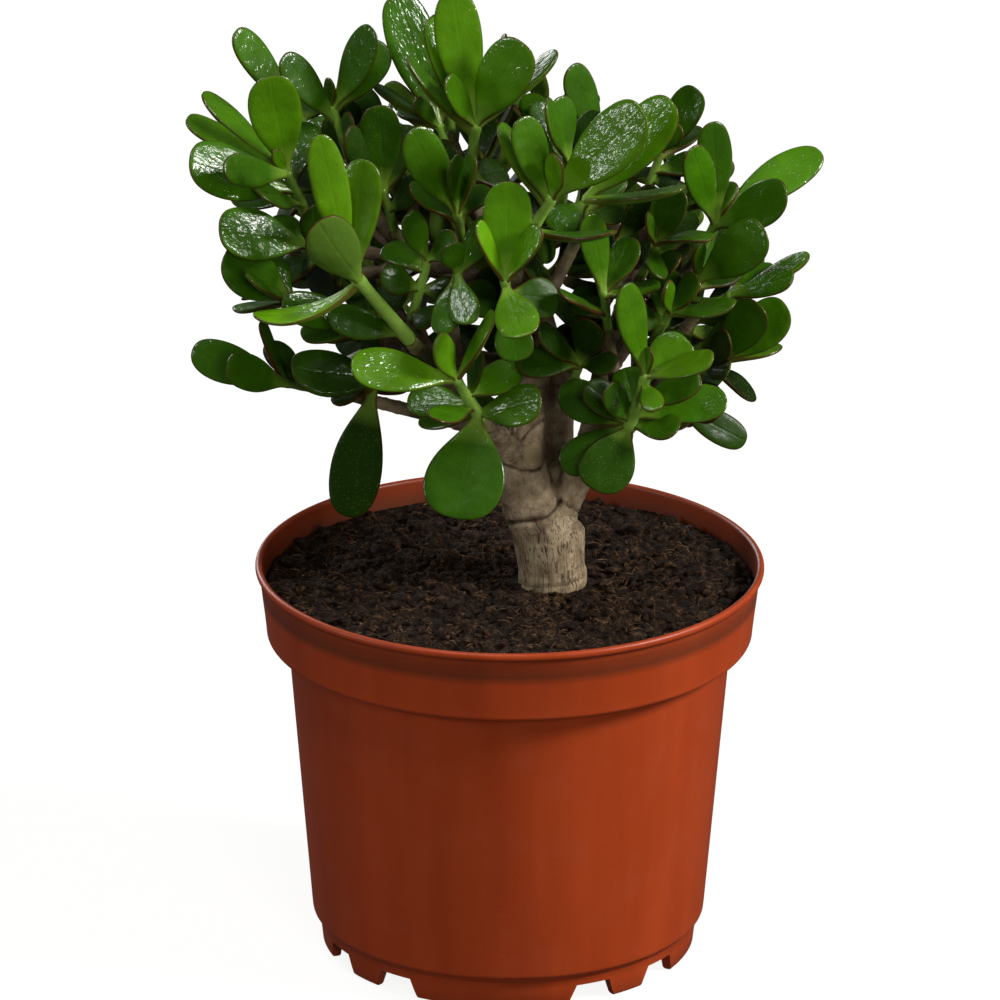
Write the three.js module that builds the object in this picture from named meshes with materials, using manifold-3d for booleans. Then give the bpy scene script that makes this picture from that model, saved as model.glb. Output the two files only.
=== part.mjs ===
// Potted jade plant: a moulded nursery pot, its fill of potting soil, a forked woody trunk,
// and leafy shoots that carry thick, spoon-shaped leaves in crossed pairs.
// Millimetres, +Z up. The origin is on the pot's axis at floor level, and -Y is the plant's front.

import * as THREE from 'three';
import { mergeVertices } from 'three/addons/utils/BufferGeometryUtils.js';
import Module from 'manifold-3d';

const wasm = await Module();
wasm.setup();

// ---------------------------------------------------------------- driving dimensions

const GAP = 0.3;                    // clearance between pieces that touch
const RAD = Math.PI / 180;

const POT = {
  rimRadius: 105, height: 167.4, wall: 1.6,
  lipHeight: 3, grooveHeight: 3,
  collarBottom: 136, collarTopRadius: 103, collarFootRadius: 100.3,
  bodyRadiusAtFloor: 80.3, bodySlope: 0.0838, bodyBottom: 13.2,
  footRadius: 78, footInnerRadius: 73.5, floorUnderside: 9.4,
  segments: 48,
};
const FOOT_NOTCH = { height: 8.4, bottomAngle: 17, topAngle: 11, frontFoot: -4.9, offsets: [31.7, 58.3] };
const DRAIN_HOLE = { count: 8, radius: 6, circleRadius: 54, sides: 8 };

const SOIL = { wallLevel: 157.5, mound: 3, rings: 7, segments: 36, lump: 1.7, seed: 311 };

const TRUNK_FOOT = { x: 17.5, y: -5, radius: 14.4, buriedTo: 96 };

// The plant is measured as seen from the front, looking down on the pot by sightTilt.
// A point is [across, rise, back]: across from the pot's axis, rise above the middle of the rim
// square to the line of sight, and back behind the pot's axis. Farther things look smaller.
const SIGHT = { tilt: 20.84 * RAD, distance: 4010, centreAcross: -4.15, centreRise: 25 };

const LEAF = {
  thickness: 3.6, rootHalfWidth: 2.1, rootHalfThickness: 1.7,
  widestAt: 0.62, camber: 0.07, bend: 14,
  stations: [0, 0.34, 0.68, 0.92], plainStations: [0, 0.5, 0.86],
};
const BEAD = { spacing: 2.6, leafRadius: 2, freeRoot: 6.5, clearance: 0.5 };

// ---------------------------------------------------------------- materials

const finish = (color, roughness) => new THREE.MeshStandardMaterial({ color, roughness, metalness: 0 });
const MATERIALS = {
  pot: finish(0x8a3a1e, 0.45),
  soil: finish(0x1d1410, 0.95),
  bark: finish(0x6b5744, 0.85),
  leaf: finish(0x35690f, 0.3),
};

// ---------------------------------------------------------------- small tools

// Park-Miller generator: the same seed always gives the same draws, from 0 to 1.
function seeded(seed) {
  let state = seed;
  return () => {
    state = (state * 16807) % 2147483647;
    return state / 2147483647;
  };
}

const vec = (x, y, z) => new THREE.Vector3(x, y, z);

const TO_FRONT = vec(0, -Math.cos(SIGHT.tilt), Math.sin(SIGHT.tilt));

function seen([across, rise, back]) {
  const { tilt, distance, centreAcross, centreRise } = SIGHT;
  const near = (rise * Math.sin(tilt) - back) / Math.cos(tilt);
  const closer = 1 - near / distance;
  const x = centreAcross + (across - centreAcross) * closer;
  const up = centreRise + (rise - centreRise) * closer;
  return vec(x, back, POT.height + (up - back * Math.sin(tilt)) / Math.cos(tilt));
}

// The part of direction a that is square to direction b.
function squareTo(a, b) {
  const flat = a.clone().addScaledVector(b, -a.dot(b));
  if (flat.lengthSq() < 1e-4) flat.set(b.z, b.x, b.y).cross(b);
  return flat.normalize();
}

function toSolid(geometry) {
  const bare = geometry.clone();
  bare.deleteAttribute('normal');
  bare.deleteAttribute('uv');
  const merged = mergeVertices(bare, 1e-4);
  return new wasm.Manifold(new wasm.Mesh({
    numProp: 3,
    vertProperties: new Float32Array(merged.attributes.position.array),
    triVerts: new Uint32Array(merged.index.array),
  }));
}

function toGeometry(solid) {
  const mesh = solid.getMesh();
  const geometry = new THREE.BufferGeometry();
  geometry.setAttribute('position', new THREE.BufferAttribute(new Float32Array(mesh.vertProperties), 3));
  geometry.setIndex(new THREE.BufferAttribute(new Uint32Array(mesh.triVerts), 1));
  geometry.computeVertexNormals();
  return geometry;
}

// Skins rings of points into a closed solid. Each ring runs counter-clockwise as seen from the
// last one, and an end is a ring, closed flat, or a single point.
function skin(rings) {
  const points = [];
  const triangles = [];
  const starts = [];
  for (const ring of rings) {
    starts.push(points.length);
    points.push(...ring);
  }
  for (let i = 0; i + 1 < rings.length; i++) {
    const a = rings[i].length;
    const b = rings[i + 1].length;
    const n = Math.max(a, b);
    for (let k = 0; k < n; k++) {
      const a0 = starts[i] + (k % a);
      const a1 = starts[i] + ((k + 1) % a);
      const b0 = starts[i + 1] + (k % b);
      const b1 = starts[i + 1] + ((k + 1) % b);
      if (a > 1) triangles.push(a0, a1, b1);
      if (b > 1) triangles.push(a0, b1, b0);
    }
  }
  const last = rings.length - 1;
  for (let k = 1; k + 1 < rings[0].length; k++) triangles.push(starts[0], k + 1, k);
  for (let k = 1; k + 1 < rings[last].length; k++) {
    triangles.push(starts[last], starts[last] + k, starts[last] + k + 1);
  }
  const geometry = new THREE.BufferGeometry();
  const position = new Float32Array(points.flatMap((p) => [p.x, p.y, p.z]));
  geometry.setAttribute('position', new THREE.BufferAttribute(position, 3));
  geometry.setIndex(triangles);
  return geometry;
}

// A round limb along points, with a radius at each, its rings turned as little as possible.
function limb(points, radii, sides) {
  const rings = [];
  let side = null;
  for (let i = 0; i < points.length; i++) {
    const before = points[Math.max(0, i - 1)];
    const after = points[Math.min(points.length - 1, i + 1)];
    const along = after.clone().sub(before).normalize();
    side = squareTo(side ?? vec(0.31, 0.95, 0.1), along);
    const other = along.clone().cross(side);
    const ring = [];
    for (let k = 0; k < sides; k++) {
      const angle = (2 * Math.PI * k) / sides;
      ring.push(points[i].clone()
        .addScaledVector(side, radii[i] * Math.cos(angle))
        .addScaledVector(other, radii[i] * Math.sin(angle)));
    }
    rings.push(ring);
  }
  return skin(rings);
}

// Joins solids into one body, without the slivers and specks that their crossings leave.
function join(solids, tolerance) {
  const joined = solids.reduce((whole, solid) => whole.add(solid)).asOriginal().simplify(tolerance);
  return joined.decompose().reduce((a, b) => (b.volume() > a.volume() ? b : a));
}

// ---------------------------------------------------------------- pot

const bodyRadius = (z) => POT.bodyRadiusAtFloor + POT.bodySlope * z;

// The inside of the pot from the floor's middle to the lip, as [radius, height].
function potInside() {
  const { wall, height, collarBottom, collarFootRadius, floorUnderside } = POT;
  const floor = floorUnderside + wall;
  const step = collarBottom + wall;
  return [
    [0, floor],
    [bodyRadius(floor) - wall - 3, floor],
    [bodyRadius(floor + 4) - wall, floor + 4],
    [bodyRadius(step) - wall, step],
    [collarFootRadius - wall, collarBottom + 4],
    [POT.rimRadius - wall, height],
  ];
}

function potOutside() {
  const { rimRadius, height, lipHeight, grooveHeight, collarBottom, bodyBottom, footRadius } = POT;
  const grooveTop = height - lipHeight;
  return [
    [rimRadius - 0.5, height],
    [rimRadius, height - 0.9],
    [rimRadius, grooveTop + 0.5],
    [POT.collarTopRadius + 0.4, grooveTop - 0.4],
    [POT.collarTopRadius, grooveTop - grooveHeight],
    [POT.collarFootRadius, collarBottom + 3],
    [POT.collarFootRadius - 1.2, collarBottom],
    [bodyRadius(collarBottom), collarBottom],
    [bodyRadius(bodyBottom + 4), bodyBottom + 4],
    [bodyRadius(bodyBottom) - 1.3, bodyBottom + 0.8],
    [footRadius + 0.4, bodyBottom],
    [footRadius - 1, 0],
    [POT.footInnerRadius, 0],
    [POT.footInnerRadius, POT.floorUnderside],
    [0, POT.floorUnderside],
  ];
}

// One notch between two feet: a wedge that widens downwards, cut through the foot ring.
function footNotch(azimuth) {
  const { height, bottomAngle, topAngle } = FOOT_NOTCH;
  const reach = POT.footRadius + 8;
  const inner = POT.footInnerRadius - 6;
  const corner = (radius, angle, z) => {
    const turned = (azimuth + angle) * RAD;
    return vec(radius * Math.sin(turned), -radius * Math.cos(turned), z);
  };
  const ring = (radius) => [
    corner(radius, -bottomAngle / 2, -2),
    corner(radius, bottomAngle / 2, -2),
    corner(radius, topAngle / 2, height),
    corner(radius, -topAngle / 2, height),
  ];
  return toSolid(skin([ring(inner), ring(reach)]));
}

function drainHole(index) {
  const angle = ((index + 0.5) / DRAIN_HOLE.count) * 2 * Math.PI;
  const { radius, sides, circleRadius } = DRAIN_HOLE;
  const geometry = new THREE.CylinderGeometry(radius, radius, 12, sides);
  geometry.rotateX(Math.PI / 2);
  geometry.translate(circleRadius * Math.cos(angle), circleRadius * Math.sin(angle), POT.floorUnderside);
  return toSolid(geometry);
}

function turned(profile, segments) {
  const lathe = new THREE.LatheGeometry(profile.map(([r, z]) => new THREE.Vector2(r, z)), segments);
  lathe.rotateX(Math.PI / 2);
  return lathe;
}

function makePot() {
  const profile = [...potInside(), ...potOutside()].reverse();
  let pot = toSolid(turned(profile, POT.segments));
  for (let quarter = 0; quarter < 4; quarter++) {
    for (const offset of FOOT_NOTCH.offsets) {
      pot = pot.subtract(footNotch(FOOT_NOTCH.frontFoot + 90 * quarter + offset));
    }
  }
  for (let i = 0; i < DRAIN_HOLE.count; i++) pot = pot.subtract(drainHole(i));
  return toGeometry(pot);
}

// ---------------------------------------------------------------- soil

// The soil's top: level at the wall, mounded towards the trunk.
function soilLevel(x, y) {
  const away = Math.hypot(x - TRUNK_FOOT.x, y - TRUNK_FOOT.y) / POT.rimRadius;
  return SOIL.wallLevel + SOIL.mound * Math.max(0, 1 - away * away);
}

function makeSoil() {
  const draw = seeded(SOIL.seed);
  const wallSide = potInside().slice(1, 5).map(([r, z]) => [r - GAP, z + GAP * 1.2]);
  const topRadius = POT.collarFootRadius - POT.wall + 2 - GAP;
  const rings = [[vec(0, 0, wallSide[0][1])]];
  const around = (radius, height) => {
    const ring = [];
    for (let k = 0; k < SOIL.segments; k++) {
      const angle = (2 * Math.PI * k) / SOIL.segments;
      const x = radius * Math.cos(angle);
      const y = radius * Math.sin(angle);
      ring.push(vec(x, y, height(x, y)));
    }
    return ring;
  };
  for (const [radius, z] of wallSide) rings.push(around(radius, () => z));
  for (let i = SOIL.rings; i > 0; i--) {
    const lump = i === SOIL.rings ? 0 : SOIL.lump;
    rings.push(around((topRadius * i) / SOIL.rings, (x, y) => soilLevel(x, y) + lump * (2 * draw() - 1)));
  }
  rings.push([vec(0, 0, soilLevel(0, 0))]);
  const hole = limb(
    [vec(TRUNK_FOOT.x, TRUNK_FOOT.y, TRUNK_FOOT.buriedTo - GAP), vec(TRUNK_FOOT.x, TRUNK_FOOT.y, 190)],
    [TRUNK_FOOT.radius + 0.6, TRUNK_FOOT.radius + 0.6],
    24,
  );
  return toGeometry(toSolid(skin(rings)).subtract(toSolid(hole)));
}

// ---------------------------------------------------------------- wood

// The trunk and its limbs: each joint has a place, a radius and the joint it grows from.
const JOINTS = {
  foot: { at: vec(17.5, -5, TRUNK_FOOT.buriedTo), radius: TRUNK_FOOT.radius },
  collar: { at: vec(17.5, -5, 166), radius: TRUNK_FOOT.radius, from: 'foot' },
  knuckle: { at: vec(16, -5, 182), radius: 15.2, from: 'collar' },
  bulge: { at: vec(7, -5, 197), radius: 12.4, from: 'knuckle' },
  left1: { at: vec(4.5, -4, 213), radius: 10.2, from: 'bulge' },
  left2: { at: vec(6, -1, 233), radius: 8.8, from: 'left1' },
  left3: { at: vec(10.5, 2, 252), radius: 6.4, from: 'left2' },
  left4: { at: vec(2, 5, 282), radius: 5, from: 'left3' },
  left5: { at: vec(-9, 4, 312), radius: 4.2, from: 'left4' },
  right1: { at: vec(26.5, -7, 204), radius: 6.4, from: 'knuckle' },
  right2: { at: vec(33, -8, 226), radius: 5.4, from: 'right1' },
  right3: { at: vec(38, -5, 252), radius: 4.8, from: 'right2' },
  right4: { at: vec(36, -2, 285), radius: 4.2, from: 'right3' },
  ringed: { at: vec(-5, -20, 230), radius: 4.6, from: 'left1' },
  frontLeft: { at: vec(-20, -22, 262), radius: 4, from: 'left3' },
  farLeft: { at: vec(-40, -2, 258), radius: 4, from: 'left3' },
  leftUp: { at: vec(-42, -4, 300), radius: 3.8, from: 'left4' },
  back1: { at: vec(20, 6, 206), radius: 7, from: 'knuckle' },
  back2: { at: vec(20, 14, 242), radius: 6, from: 'back1' },
  backLeft: { at: vec(-34, 36, 285), radius: 3.8, from: 'left4' },
  back: { at: vec(6, 42, 290), radius: 3.8, from: 'back2' },
  front: { at: vec(8, -34, 285), radius: 3.8, from: 'left3' },
  frontRight: { at: vec(44, -34, 246), radius: 3.8, from: 'right2' },
  rightLow: { at: vec(58, -12, 246), radius: 3.6, from: 'right2' },
  rightUp: { at: vec(60, -6, 285), radius: 3.6, from: 'right3' },
  backRight: { at: vec(52, 36, 285), radius: 3.6, from: 'right3' },
};

const TWIG_STEPS = 3;
const SLIVER = { wood: 0.4, leaf: 0.25 };

// The way of a twig from its joint to the shoot that it carries: it leaves the joint outwards
// and comes in along the shoot's own line.
function twigPath(shoot) {
  const joint = JOINTS[shoot.joint];
  const start = joint.at;
  const span = start.distanceTo(shoot.from);
  const line = shoot.to.clone().sub(shoot.from).normalize();
  const end = shoot.from.clone().addScaledVector(line, -GAP);
  const turnIn = end.clone().addScaledVector(line, -0.4 * span);
  const curve = new THREE.QuadraticBezierCurve3(start, turnIn, end);
  const points = curve.getPoints(TWIG_STEPS);
  points[TWIG_STEPS - 1].copy(end).addScaledVector(line, -4);
  const first = Math.min(joint.radius * 0.8, shoot.radius * 1.5);
  const radii = points.map((_, i) => THREE.MathUtils.lerp(first, shoot.radius, i / TWIG_STEPS));
  return { points, radii };
}

function makeTrunk(shoots) {
  const solids = [];
  for (const joint of Object.values(JOINTS)) {
    if (!joint.from) continue;
    const root = JOINTS[joint.from];
    const beyond = joint.at.clone().sub(root.at).normalize().multiplyScalar(joint.radius * 0.5);
    const sides = joint.radius > 8 ? 16 : 8;
    const start = Math.min(root.radius * 0.96, joint.radius * 1.25);
    solids.push(toSolid(limb([root.at, joint.at, joint.at.clone().add(beyond)],
      [start, joint.radius, joint.radius * 0.62], sides)));
  }
  for (const shoot of shoots) {
    const { points, radii } = twigPath(shoot);
    solids.push(toSolid(limb(points, radii, 5)));
  }
  return toGeometry(join(solids, SLIVER.wood));
}

// ---------------------------------------------------------------- leaves

// Half width of a blade at s, from 0 at its root to 1 at its tip, as a share of its widest.
function bladeShape(s) {
  const { widestAt } = LEAF;
  if (s <= widestAt) return Math.pow(Math.sin((0.5 * Math.PI * s) / widestAt), 1.25);
  const past = (s - widestAt) / (1 - widestAt);
  return Math.sqrt(Math.max(0, 1 - past * past * past));
}

// A leaf is a root point, the way to its tip, a length, a width, a face and a bend. Its rib is
// an arc that curves towards its upper face.
function leafFrame(leaf, s) {
  const { root, reach, face, length } = leaf;
  const half = (leaf.bend * RAD) / 2;
  const turn = -half + 2 * half * s;
  const chord = half === 0 ? s : (Math.sin(turn) + Math.sin(half)) / (2 * Math.sin(half));
  const sag = half === 0 ? 0 : (Math.cos(half) - Math.cos(turn)) / (2 * Math.sin(half));
  const at = root.clone().addScaledVector(reach, chord * length).addScaledVector(face, sag * length);
  const along = reach.clone().multiplyScalar(Math.cos(turn)).addScaledVector(face, Math.sin(turn));
  const up = face.clone().multiplyScalar(Math.cos(turn)).addScaledVector(reach, -Math.sin(turn));
  return { at, up, across: along.clone().cross(up) };
}

const bladeHalfWidth = (leaf, s) => {
  const root = LEAF.rootHalfWidth * Math.min(1, leaf.width / 12) * (1 - s);
  return Math.max(root, (leaf.width / 2) * bladeShape(s));
};

function leafSolid(leaf) {
  const stations = leaf.plain ? LEAF.plainStations : LEAF.stations;
  const rings = stations.map((s) => {
    const { at, up, across } = leafFrame(leaf, s);
    const half = bladeHalfWidth(leaf, s);
    const slim = Math.min(1, leaf.width / 10);
    const thick = slim * THREE.MathUtils.lerp(LEAF.rootHalfThickness, LEAF.thickness / 2, Math.min(1, s * 3))
      * (s > 0.85 ? 0.6 : 1);
    const edge = at.clone().addScaledVector(up, LEAF.camber * half);
    return [
      edge.clone().addScaledVector(across, half),
      at.clone().addScaledVector(up, -thick),
      edge.clone().addScaledVector(across, -half),
      at.clone().addScaledVector(up, thick),
    ];
  });
  rings.push([leafFrame(leaf, 1).at]);
  return toSolid(skin(rings));
}

// Beads fill a leaf's blade: they stand for it where leaves are held clear of each other.
function leafBeads(leaf, owner) {
  const beads = [];
  const steps = Math.max(3, Math.round(leaf.length / BEAD.spacing));
  const radius = BEAD.leafRadius * Math.min(1, leaf.width / 10);
  for (let i = 1; i <= steps; i++) {
    const s = i / steps;
    const { at, across } = leafFrame(leaf, s);
    const half = Math.max(0, bladeHalfWidth(leaf, s) - 1);
    const rows = Math.max(1, Math.round((2 * half) / BEAD.spacing));
    for (let k = 0; k <= rows; k++) {
      const off = half * ((2 * k) / rows - 1);
      beads.push({ at: at.clone().addScaledVector(across, off), radius, owner, s: s * leaf.length });
    }
  }
  return beads;
}

// ---------------------------------------------------------------- shoots

// Each shoot that shows from the front: the line of its stem as seen points, the stem's radius,
// and its leaves as [share along the stem, tip across, tip rise, tip back, width, turn, bend].
// A leaf's turn is 0 where its upper face looks to the front, and grows as that face turns to
// the left of its way outwards. At 180 the underside shows.
const FRONT_SHOOTS = {
  left_crest: { from: [-67, 166, 0], to: [-74, 187, 2], radius: 2.2, leaves: [
    [0.7, -95, 208, -6, 15, -30], [1, -57.5, 220, -6, 17, 35], [0.9, -53, 214, 12, 18, 20],
    [1, -75.7, 199, 2, 8, 60], [0.3, -66, 182, -12, 12, 50],
    [0.4, -67, 190, 12, 12, -10]] },
  left_far_top: { from: [-80, 168, 20], to: [-88, 185, 26], radius: 2, leaves: [
    [1, -114.5, 218.5, 18, 15.5, -35], [0.8, -80, 191, 46, 17, 20], [0.6, -104, 172, 56, 18, -30],
    [0.9, -106, 182, 44, 15, -50]] },
  left_top: { from: [-85, 143, -18], to: [-93, 160, -24], radius: 2.4, leaves: [
    [1, -100, 200, -30, 22, -10], [1, -127.5, 193.5, -2, 14, -56], [0.95, -134.8, 182.5, -20, 15, -50],
    [0.55, -133.5, 165, -42, 25, -25], [0.95, -119, 161, -60, 14, -10], [1, -98, 169, -32, 6, -20],
    [0.1, -106, 153, -42, 15, -58], [0.4, -116, 152, 4, 15, -20],
    [0.7, -85, 181, 2, 16, 10], [0.2, -96, 144, 8, 16, -30], [0.5, -79, 160, 6, 15, 20]] },
  left_shelf: { from: [-70, 120, -24], to: [-84, 130, -32], radius: 2.4, leaves: [
    [0.95, -119.5, 141, -52, 23, -22, 18], [1, -96, 150, -12, 16, -40], [0.6, -82, 146, -48, 14, -20],
    [0.5, -98, 118, -6, 15, -30], [0.05, -82, 110, 2, 16, -10],
    [0.3, -102, 145, 6, 16, -30]] },
  left_low: { from: [-78, 103, -22], to: [-91, 107, -32], radius: 2.2, leaves: [
    [1, -117.5, 126.5, -50, 22, -15], [0.9, -101, 126, -26, 14, -40], [1, -109, 117, -58, 11, -72],
    [0.95, -115, 103, -40, 12, -72]] },
  front_left: { from: [-41, 90, -44], to: [-66, 119, -62], radius: 3.2, leaves: [
    [0.84, -80, 140, -84, 21.5, 180], [0.86, -107, 101, -68, 15, -64, 72], [1, -80, 176, -62, 16, -15],
    [0.95, -61, 166, -54, 19, 20], [0.1, -76, 101, -54, 14, -15]] },
  left_arm: { from: [-72, 69, -8], to: [-94, 73, -12], radius: 2.2, leaves: [
    [1, -132, 86.5, -10, 17.5, -15], [0.9, -117.5, 79.5, -30, 16, -15], [0.65, -100, 90, 4, 12, -20],
    [0.95, -103, 99, -10, 9, -62]] },
  left_skirt: { from: [-46, 76, -14], to: [-57, 71, -20], radius: 2.4, leaves: [
    [0.3, -91, 79, -34, 21, -25], [1, -67.5, 17, -30, 22, -10], [0.9, -74, 65, -26, 10, -55],
    [0.1, -47, 64, 2, 15, 0]] },
  left_inner: { from: [-50, 96, -26], to: [-58, 98, -36], radius: 2, leaves: [
    [1, -87, 92.5, -42, 15, -45], [0.9, -95, 106, -52, 15, -10], [1, -66, 116, -6, 15, -20],
    [0.5, -42, 112, -24, 14, 20], [0.6, -74, 84, -4, 15, -30]] },
  left_middle: { from: [-48, 136, -8], to: [-53, 153, -14], radius: 2.1, leaves: [
    [1, -55, 188, -22, 17, -10], [0.9, -42, 180, 4, 17, 30], [0.6, -68, 178, -28, 15, -40],
    [0.5, -38, 156, -22, 14, 40]] },
  left_stem: { from: [-41, 99, -26], to: [-34, 125, -32], radius: 2.2, leaves: [
    [1, -43, 143, -40, 13, -30], [1, -22, 132, -40, 14, 25], [0.8, -52, 130, -18, 15, -40],
    [0.5, -54, 118, -36, 13, -20], [0.15, -34, 98, -48, 13, 10], [0.5, -20, 116, -14, 16, 20],
    [0.3, -35, 106, -2, 15, 0], [0.05, -34, 92, -10, 14, -10]] },
  left_droop: { from: [-24, 104, -34], to: [-22, 119, -42], radius: 2, leaves: [
    [0.95, -18, 97, -60, 13, 0], [0.9, -29, 92, -54, 12, -10], [1, -13, 143, -44, 14, 20],
    [1, -32, 137, -46, 13, -20], [0.5, -12, 100, -20, 16, 10]] },
  centre_left: { from: [-12, 58, -42], to: [-22.5, 75, -58], radius: 2.6, leaves: [
    [1, -66.5, 80, -72, 20, -28], [1, -31, 92, -66, 14, -45], [1, -11, 105, -58, 12, 65],
    [0.5, -13, 88, -54, 9, 45], [0.3, -33, 59, -72, 12, -45], [0.12, -22, 16.5, -70, 33, -5],
    [0.15, 13, 66, -60, 18, 20], [0.4, -43, 66, -44, 15, -25],
    [0.6, 4, 80, -40, 15, 20], [0.1, -38, 58, -30, 12, -40],
    [0.2, -9, 68, -24, 14, 10]] },
  upper_left: { from: [-19, 125, -22], to: [-22.5, 144, -34], radius: 2.3, leaves: [
    [1, -41.5, 178, -42, 18, -15], [1, -23, 167, -46, 13, -58], [1, -16, 168, -34, 12, 60],
    [0.8, -50, 148, -32, 14, -55], [0.9, -8, 153, -28, 13, 45],
    [0.3, -20, 174, -2, 14, 0]] },
  top_centre: { from: [-17.5, 153, -6], to: [-15, 180, -12], radius: 2.6, leaves: [
    [1, -25, 236, -8, 20, -15], [0.9, -33, 225, 6, 17, -30], [1, -27, 199, -24, 13, -45],
    [1, 5, 214, -22, 23, 18], [0.9, -3, 218, 16, 11, 75], [1, 19, 211, -2, 15, 60],
    [0.85, -44, 208, -18, 13, -66], [0.1, -2, 161, 8, 15, 20]] },
  top_left: { from: [-25, 165, 8], to: [-30, 180, 12], radius: 2.2, leaves: [
    [1, -58, 194, 6, 13, -72], [1, -47, 233, 14, 22, -20], [0.9, -40, 190, 2, 8, -30],
    [0.9, -22, 212, 34, 16, 30], [0.9, -46, 186, 30, 11, -60]] },
  front_centre: { from: [-1, 101, -52], to: [-2.5, 116, -66], radius: 2.4, leaves: [
    [1, -1, 157, -62, 20, 0], [1, -14, 140, -72, 11, -55], [1, 12, 138, -72, 12, 42],
    [0.85, 5, 92, -92, 18, 0], [0.6, 20, 107, -54, 17, 10], [0.15, 3, 82, -66, 16, 0]] },
  centre_high: { from: [4, 129, -48], to: [17, 150, -58], radius: 2.7, leaves: [
    [1, 54.5, 187, -72, 25, 22], [1, 18.5, 167, -68, 12, 48], [0.9, -9, 173, -66, 17, -32],
    [0.8, -5, 181, -48, 13, -50], [0.35, 43, 136, -76, 13, 76, 32],
    [0.05, 16, 126, -22, 15, 10]] },
  right_high: { from: [28, 136, -34], to: [31, 150, -42], radius: 2.3, leaves: [
    [1, 67, 190, -52, 22, 22], [1, 72, 154.5, -62, 14, 76, 24], [0.85, 16, 138, -52, 15, -20],
    [0.5, 46, 160, -28, 15, 40], [0.4, 46, 146, -10, 14, 20]] },
  mid_high: { from: [21, 148, -18], to: [23.5, 165, -26], radius: 2.1, leaves: [
    [1, 14.5, 190, -38, 13, -60], [1, 20, 192, -24, 14, -40], [0.7, 10, 190, -10, 14, -35],
    [0.8, 36, 186, -16, 15, 40], [0.9, 6, 193, 0, 14, -20]] },
  high_right: { from: [40, 152, 4], to: [37, 172, 6], radius: 2.1, leaves: [
    [1, 24.5, 205, 2, 16, -35], [0.9, 46, 186, 22, 17, 30], [0.7, 58, 178, -10, 17, 30],
    [0.6, 28, 186, 20, 14, -40]] },
  upper_right: { from: [56, 152, 6], to: [62, 170, 8], radius: 2.1, leaves: [
    [1, 77, 195, 4, 17, 30], [1, 70, 179, -4, 9, 30], [0.9, 54, 184, 18, 16, -30],
    [0.8, 76, 180, 30, 15, 50], [0.5, 82, 166, 8, 15, 45],
    [0.15, 54, 162, 22, 16, -20], [0.3, 70, 158, 4, 14, 30]] },
  middle_right: { from: [40, 96, -40], to: [38, 111, -50], radius: 2, leaves: [
    [1, 33, 142, -56, 14, -30], [0.9, 62, 114.5, -46, 12, 60], [0.4, 20, 111, -62, 10, -72],
    [0.9, 50, 134, -36, 15, 35], [0.3, 26, 112, -22, 16, 0]] },
  right_inner: { from: [54, 118, -22], to: [60, 131, -30], radius: 2.1, leaves: [
    [1, 83.5, 133, -46, 14, 74, -24], [1, 70, 154, -34, 15, 35], [0.95, 62, 152, -24, 13, 58],
    [1, 56, 143, -40, 8, -60], [0.9, 57, 114, -50, 10, 30], [0.5, 67, 120, -46, 12, 20],
    [0.3, 80, 140, -6, 14, 30]] },
  right_mid: { from: [58, 90, -34], to: [66, 103, -46], radius: 2.2, leaves: [
    [1, 92.5, 106, -64, 14, 60], [1, 77, 118, -46, 13, 48], [1, 60, 115, -56, 10, -58],
    [0.7, 46, 103, -54, 13, -20], [0.6, 64, 117, -20, 14, 0]] },
  right_out: { from: [69, 106, -20], to: [77.5, 116, -30], radius: 2.3, leaves: [
    [1, 105, 137, -50, 21, 20], [1, 73.5, 134, -38, 10, -60], [0.6, 88, 120, -2, 14, 30]] },
  right_crown: { from: [77, 126, -10], to: [85, 141, -14], radius: 2.3, leaves: [
    [1, 83, 182, -16, 15, -15], [0.9, 74, 171, -30, 15, -25], [1, 91.5, 157, -6, 10, 45],
    [1, 128.9, 170, 14, 18, 22], [0.8, 114, 153, -32, 19, 20]] },
  right_tip: { from: [80, 104, -12], to: [91, 110, -18], radius: 2.2, leaves: [
    [0.9, 102, 127, 6, 12, 42], [1, 108, 124, -4, 12, 35], [1, 122.5, 129, -14, 13, 58],
    [1, 117, 118, -34, 14, 42], [0.7, 68.5, 118, -46, 14, -68]] },
  right_low: { from: [76, 78, -16], to: [87, 83, -22], radius: 2.2, leaves: [
    [1, 95, 109, -40, 18, 15], [1, 114, 106, -24, 20, 20], [0.95, 112, 89.5, -12, 13, 66],
    [0.4, 90, 79, -42, 10, 20], [0.6, 101.5, 68, -6, 12, 55], [0.3, 90, 93, -42, 12, 30],
    [0.1, 85, 72, 8, 15, 0]] },
  front_right: { from: [48.5, 53, -46], to: [56, 77, -60], radius: 2.6, leaves: [
    [1, 43, 115, -66, 15, -32], [1, 57.5, 88, -64, 7, 60], [0.85, 60, 62, -74, 10, 10],
    [1, 84, 84, -76, 14, 45], [0.9, 73, 92, -54, 18, 10], [0.5, 79, 76, -56, 14, 30],
    [0.4, 47, 80, -40, 15, 10], [0.3, 89, 70, -44, 17, 22],
    [0.1, 70, 55, -60, 14, 40], [0.2, 40, 72, -62, 13, -28],
    [0.15, 31, 73, -50, 15, -25], [0.1, 23, 75, -36, 18, -20], [0.05, 34, 29, -62, 22, 0],
    [0.08, 20, 40, -48, 16, -10]] },
  right_skirt: { from: [60, 64, -20], to: [68, 66, -28], radius: 2.2, leaves: [
    [1, 97.5, 49, -22, 14, 15], [0.9, 87, 64, -46, 14, 25], [0.7, 86, 80, -2, 15, 30],
    [0.5, 72, 55, -36, 11, 20], [0.3, 86, 72, 6, 16, 10]] },
  middle: { from: [24, 70, -26], to: [29, 82, -36], radius: 2.1, leaves: [
    [1, 53, 78, -46, 13, 30], [0.9, 2, 80, -48, 15, -28], [1, 11, 96, -50, 13, -42],
    [1, 36, 104, -40, 15, 20], [0.5, 31, 78, -4, 15, 0], [0.7, 21, 97, -12, 16, 0]] },
};

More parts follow.
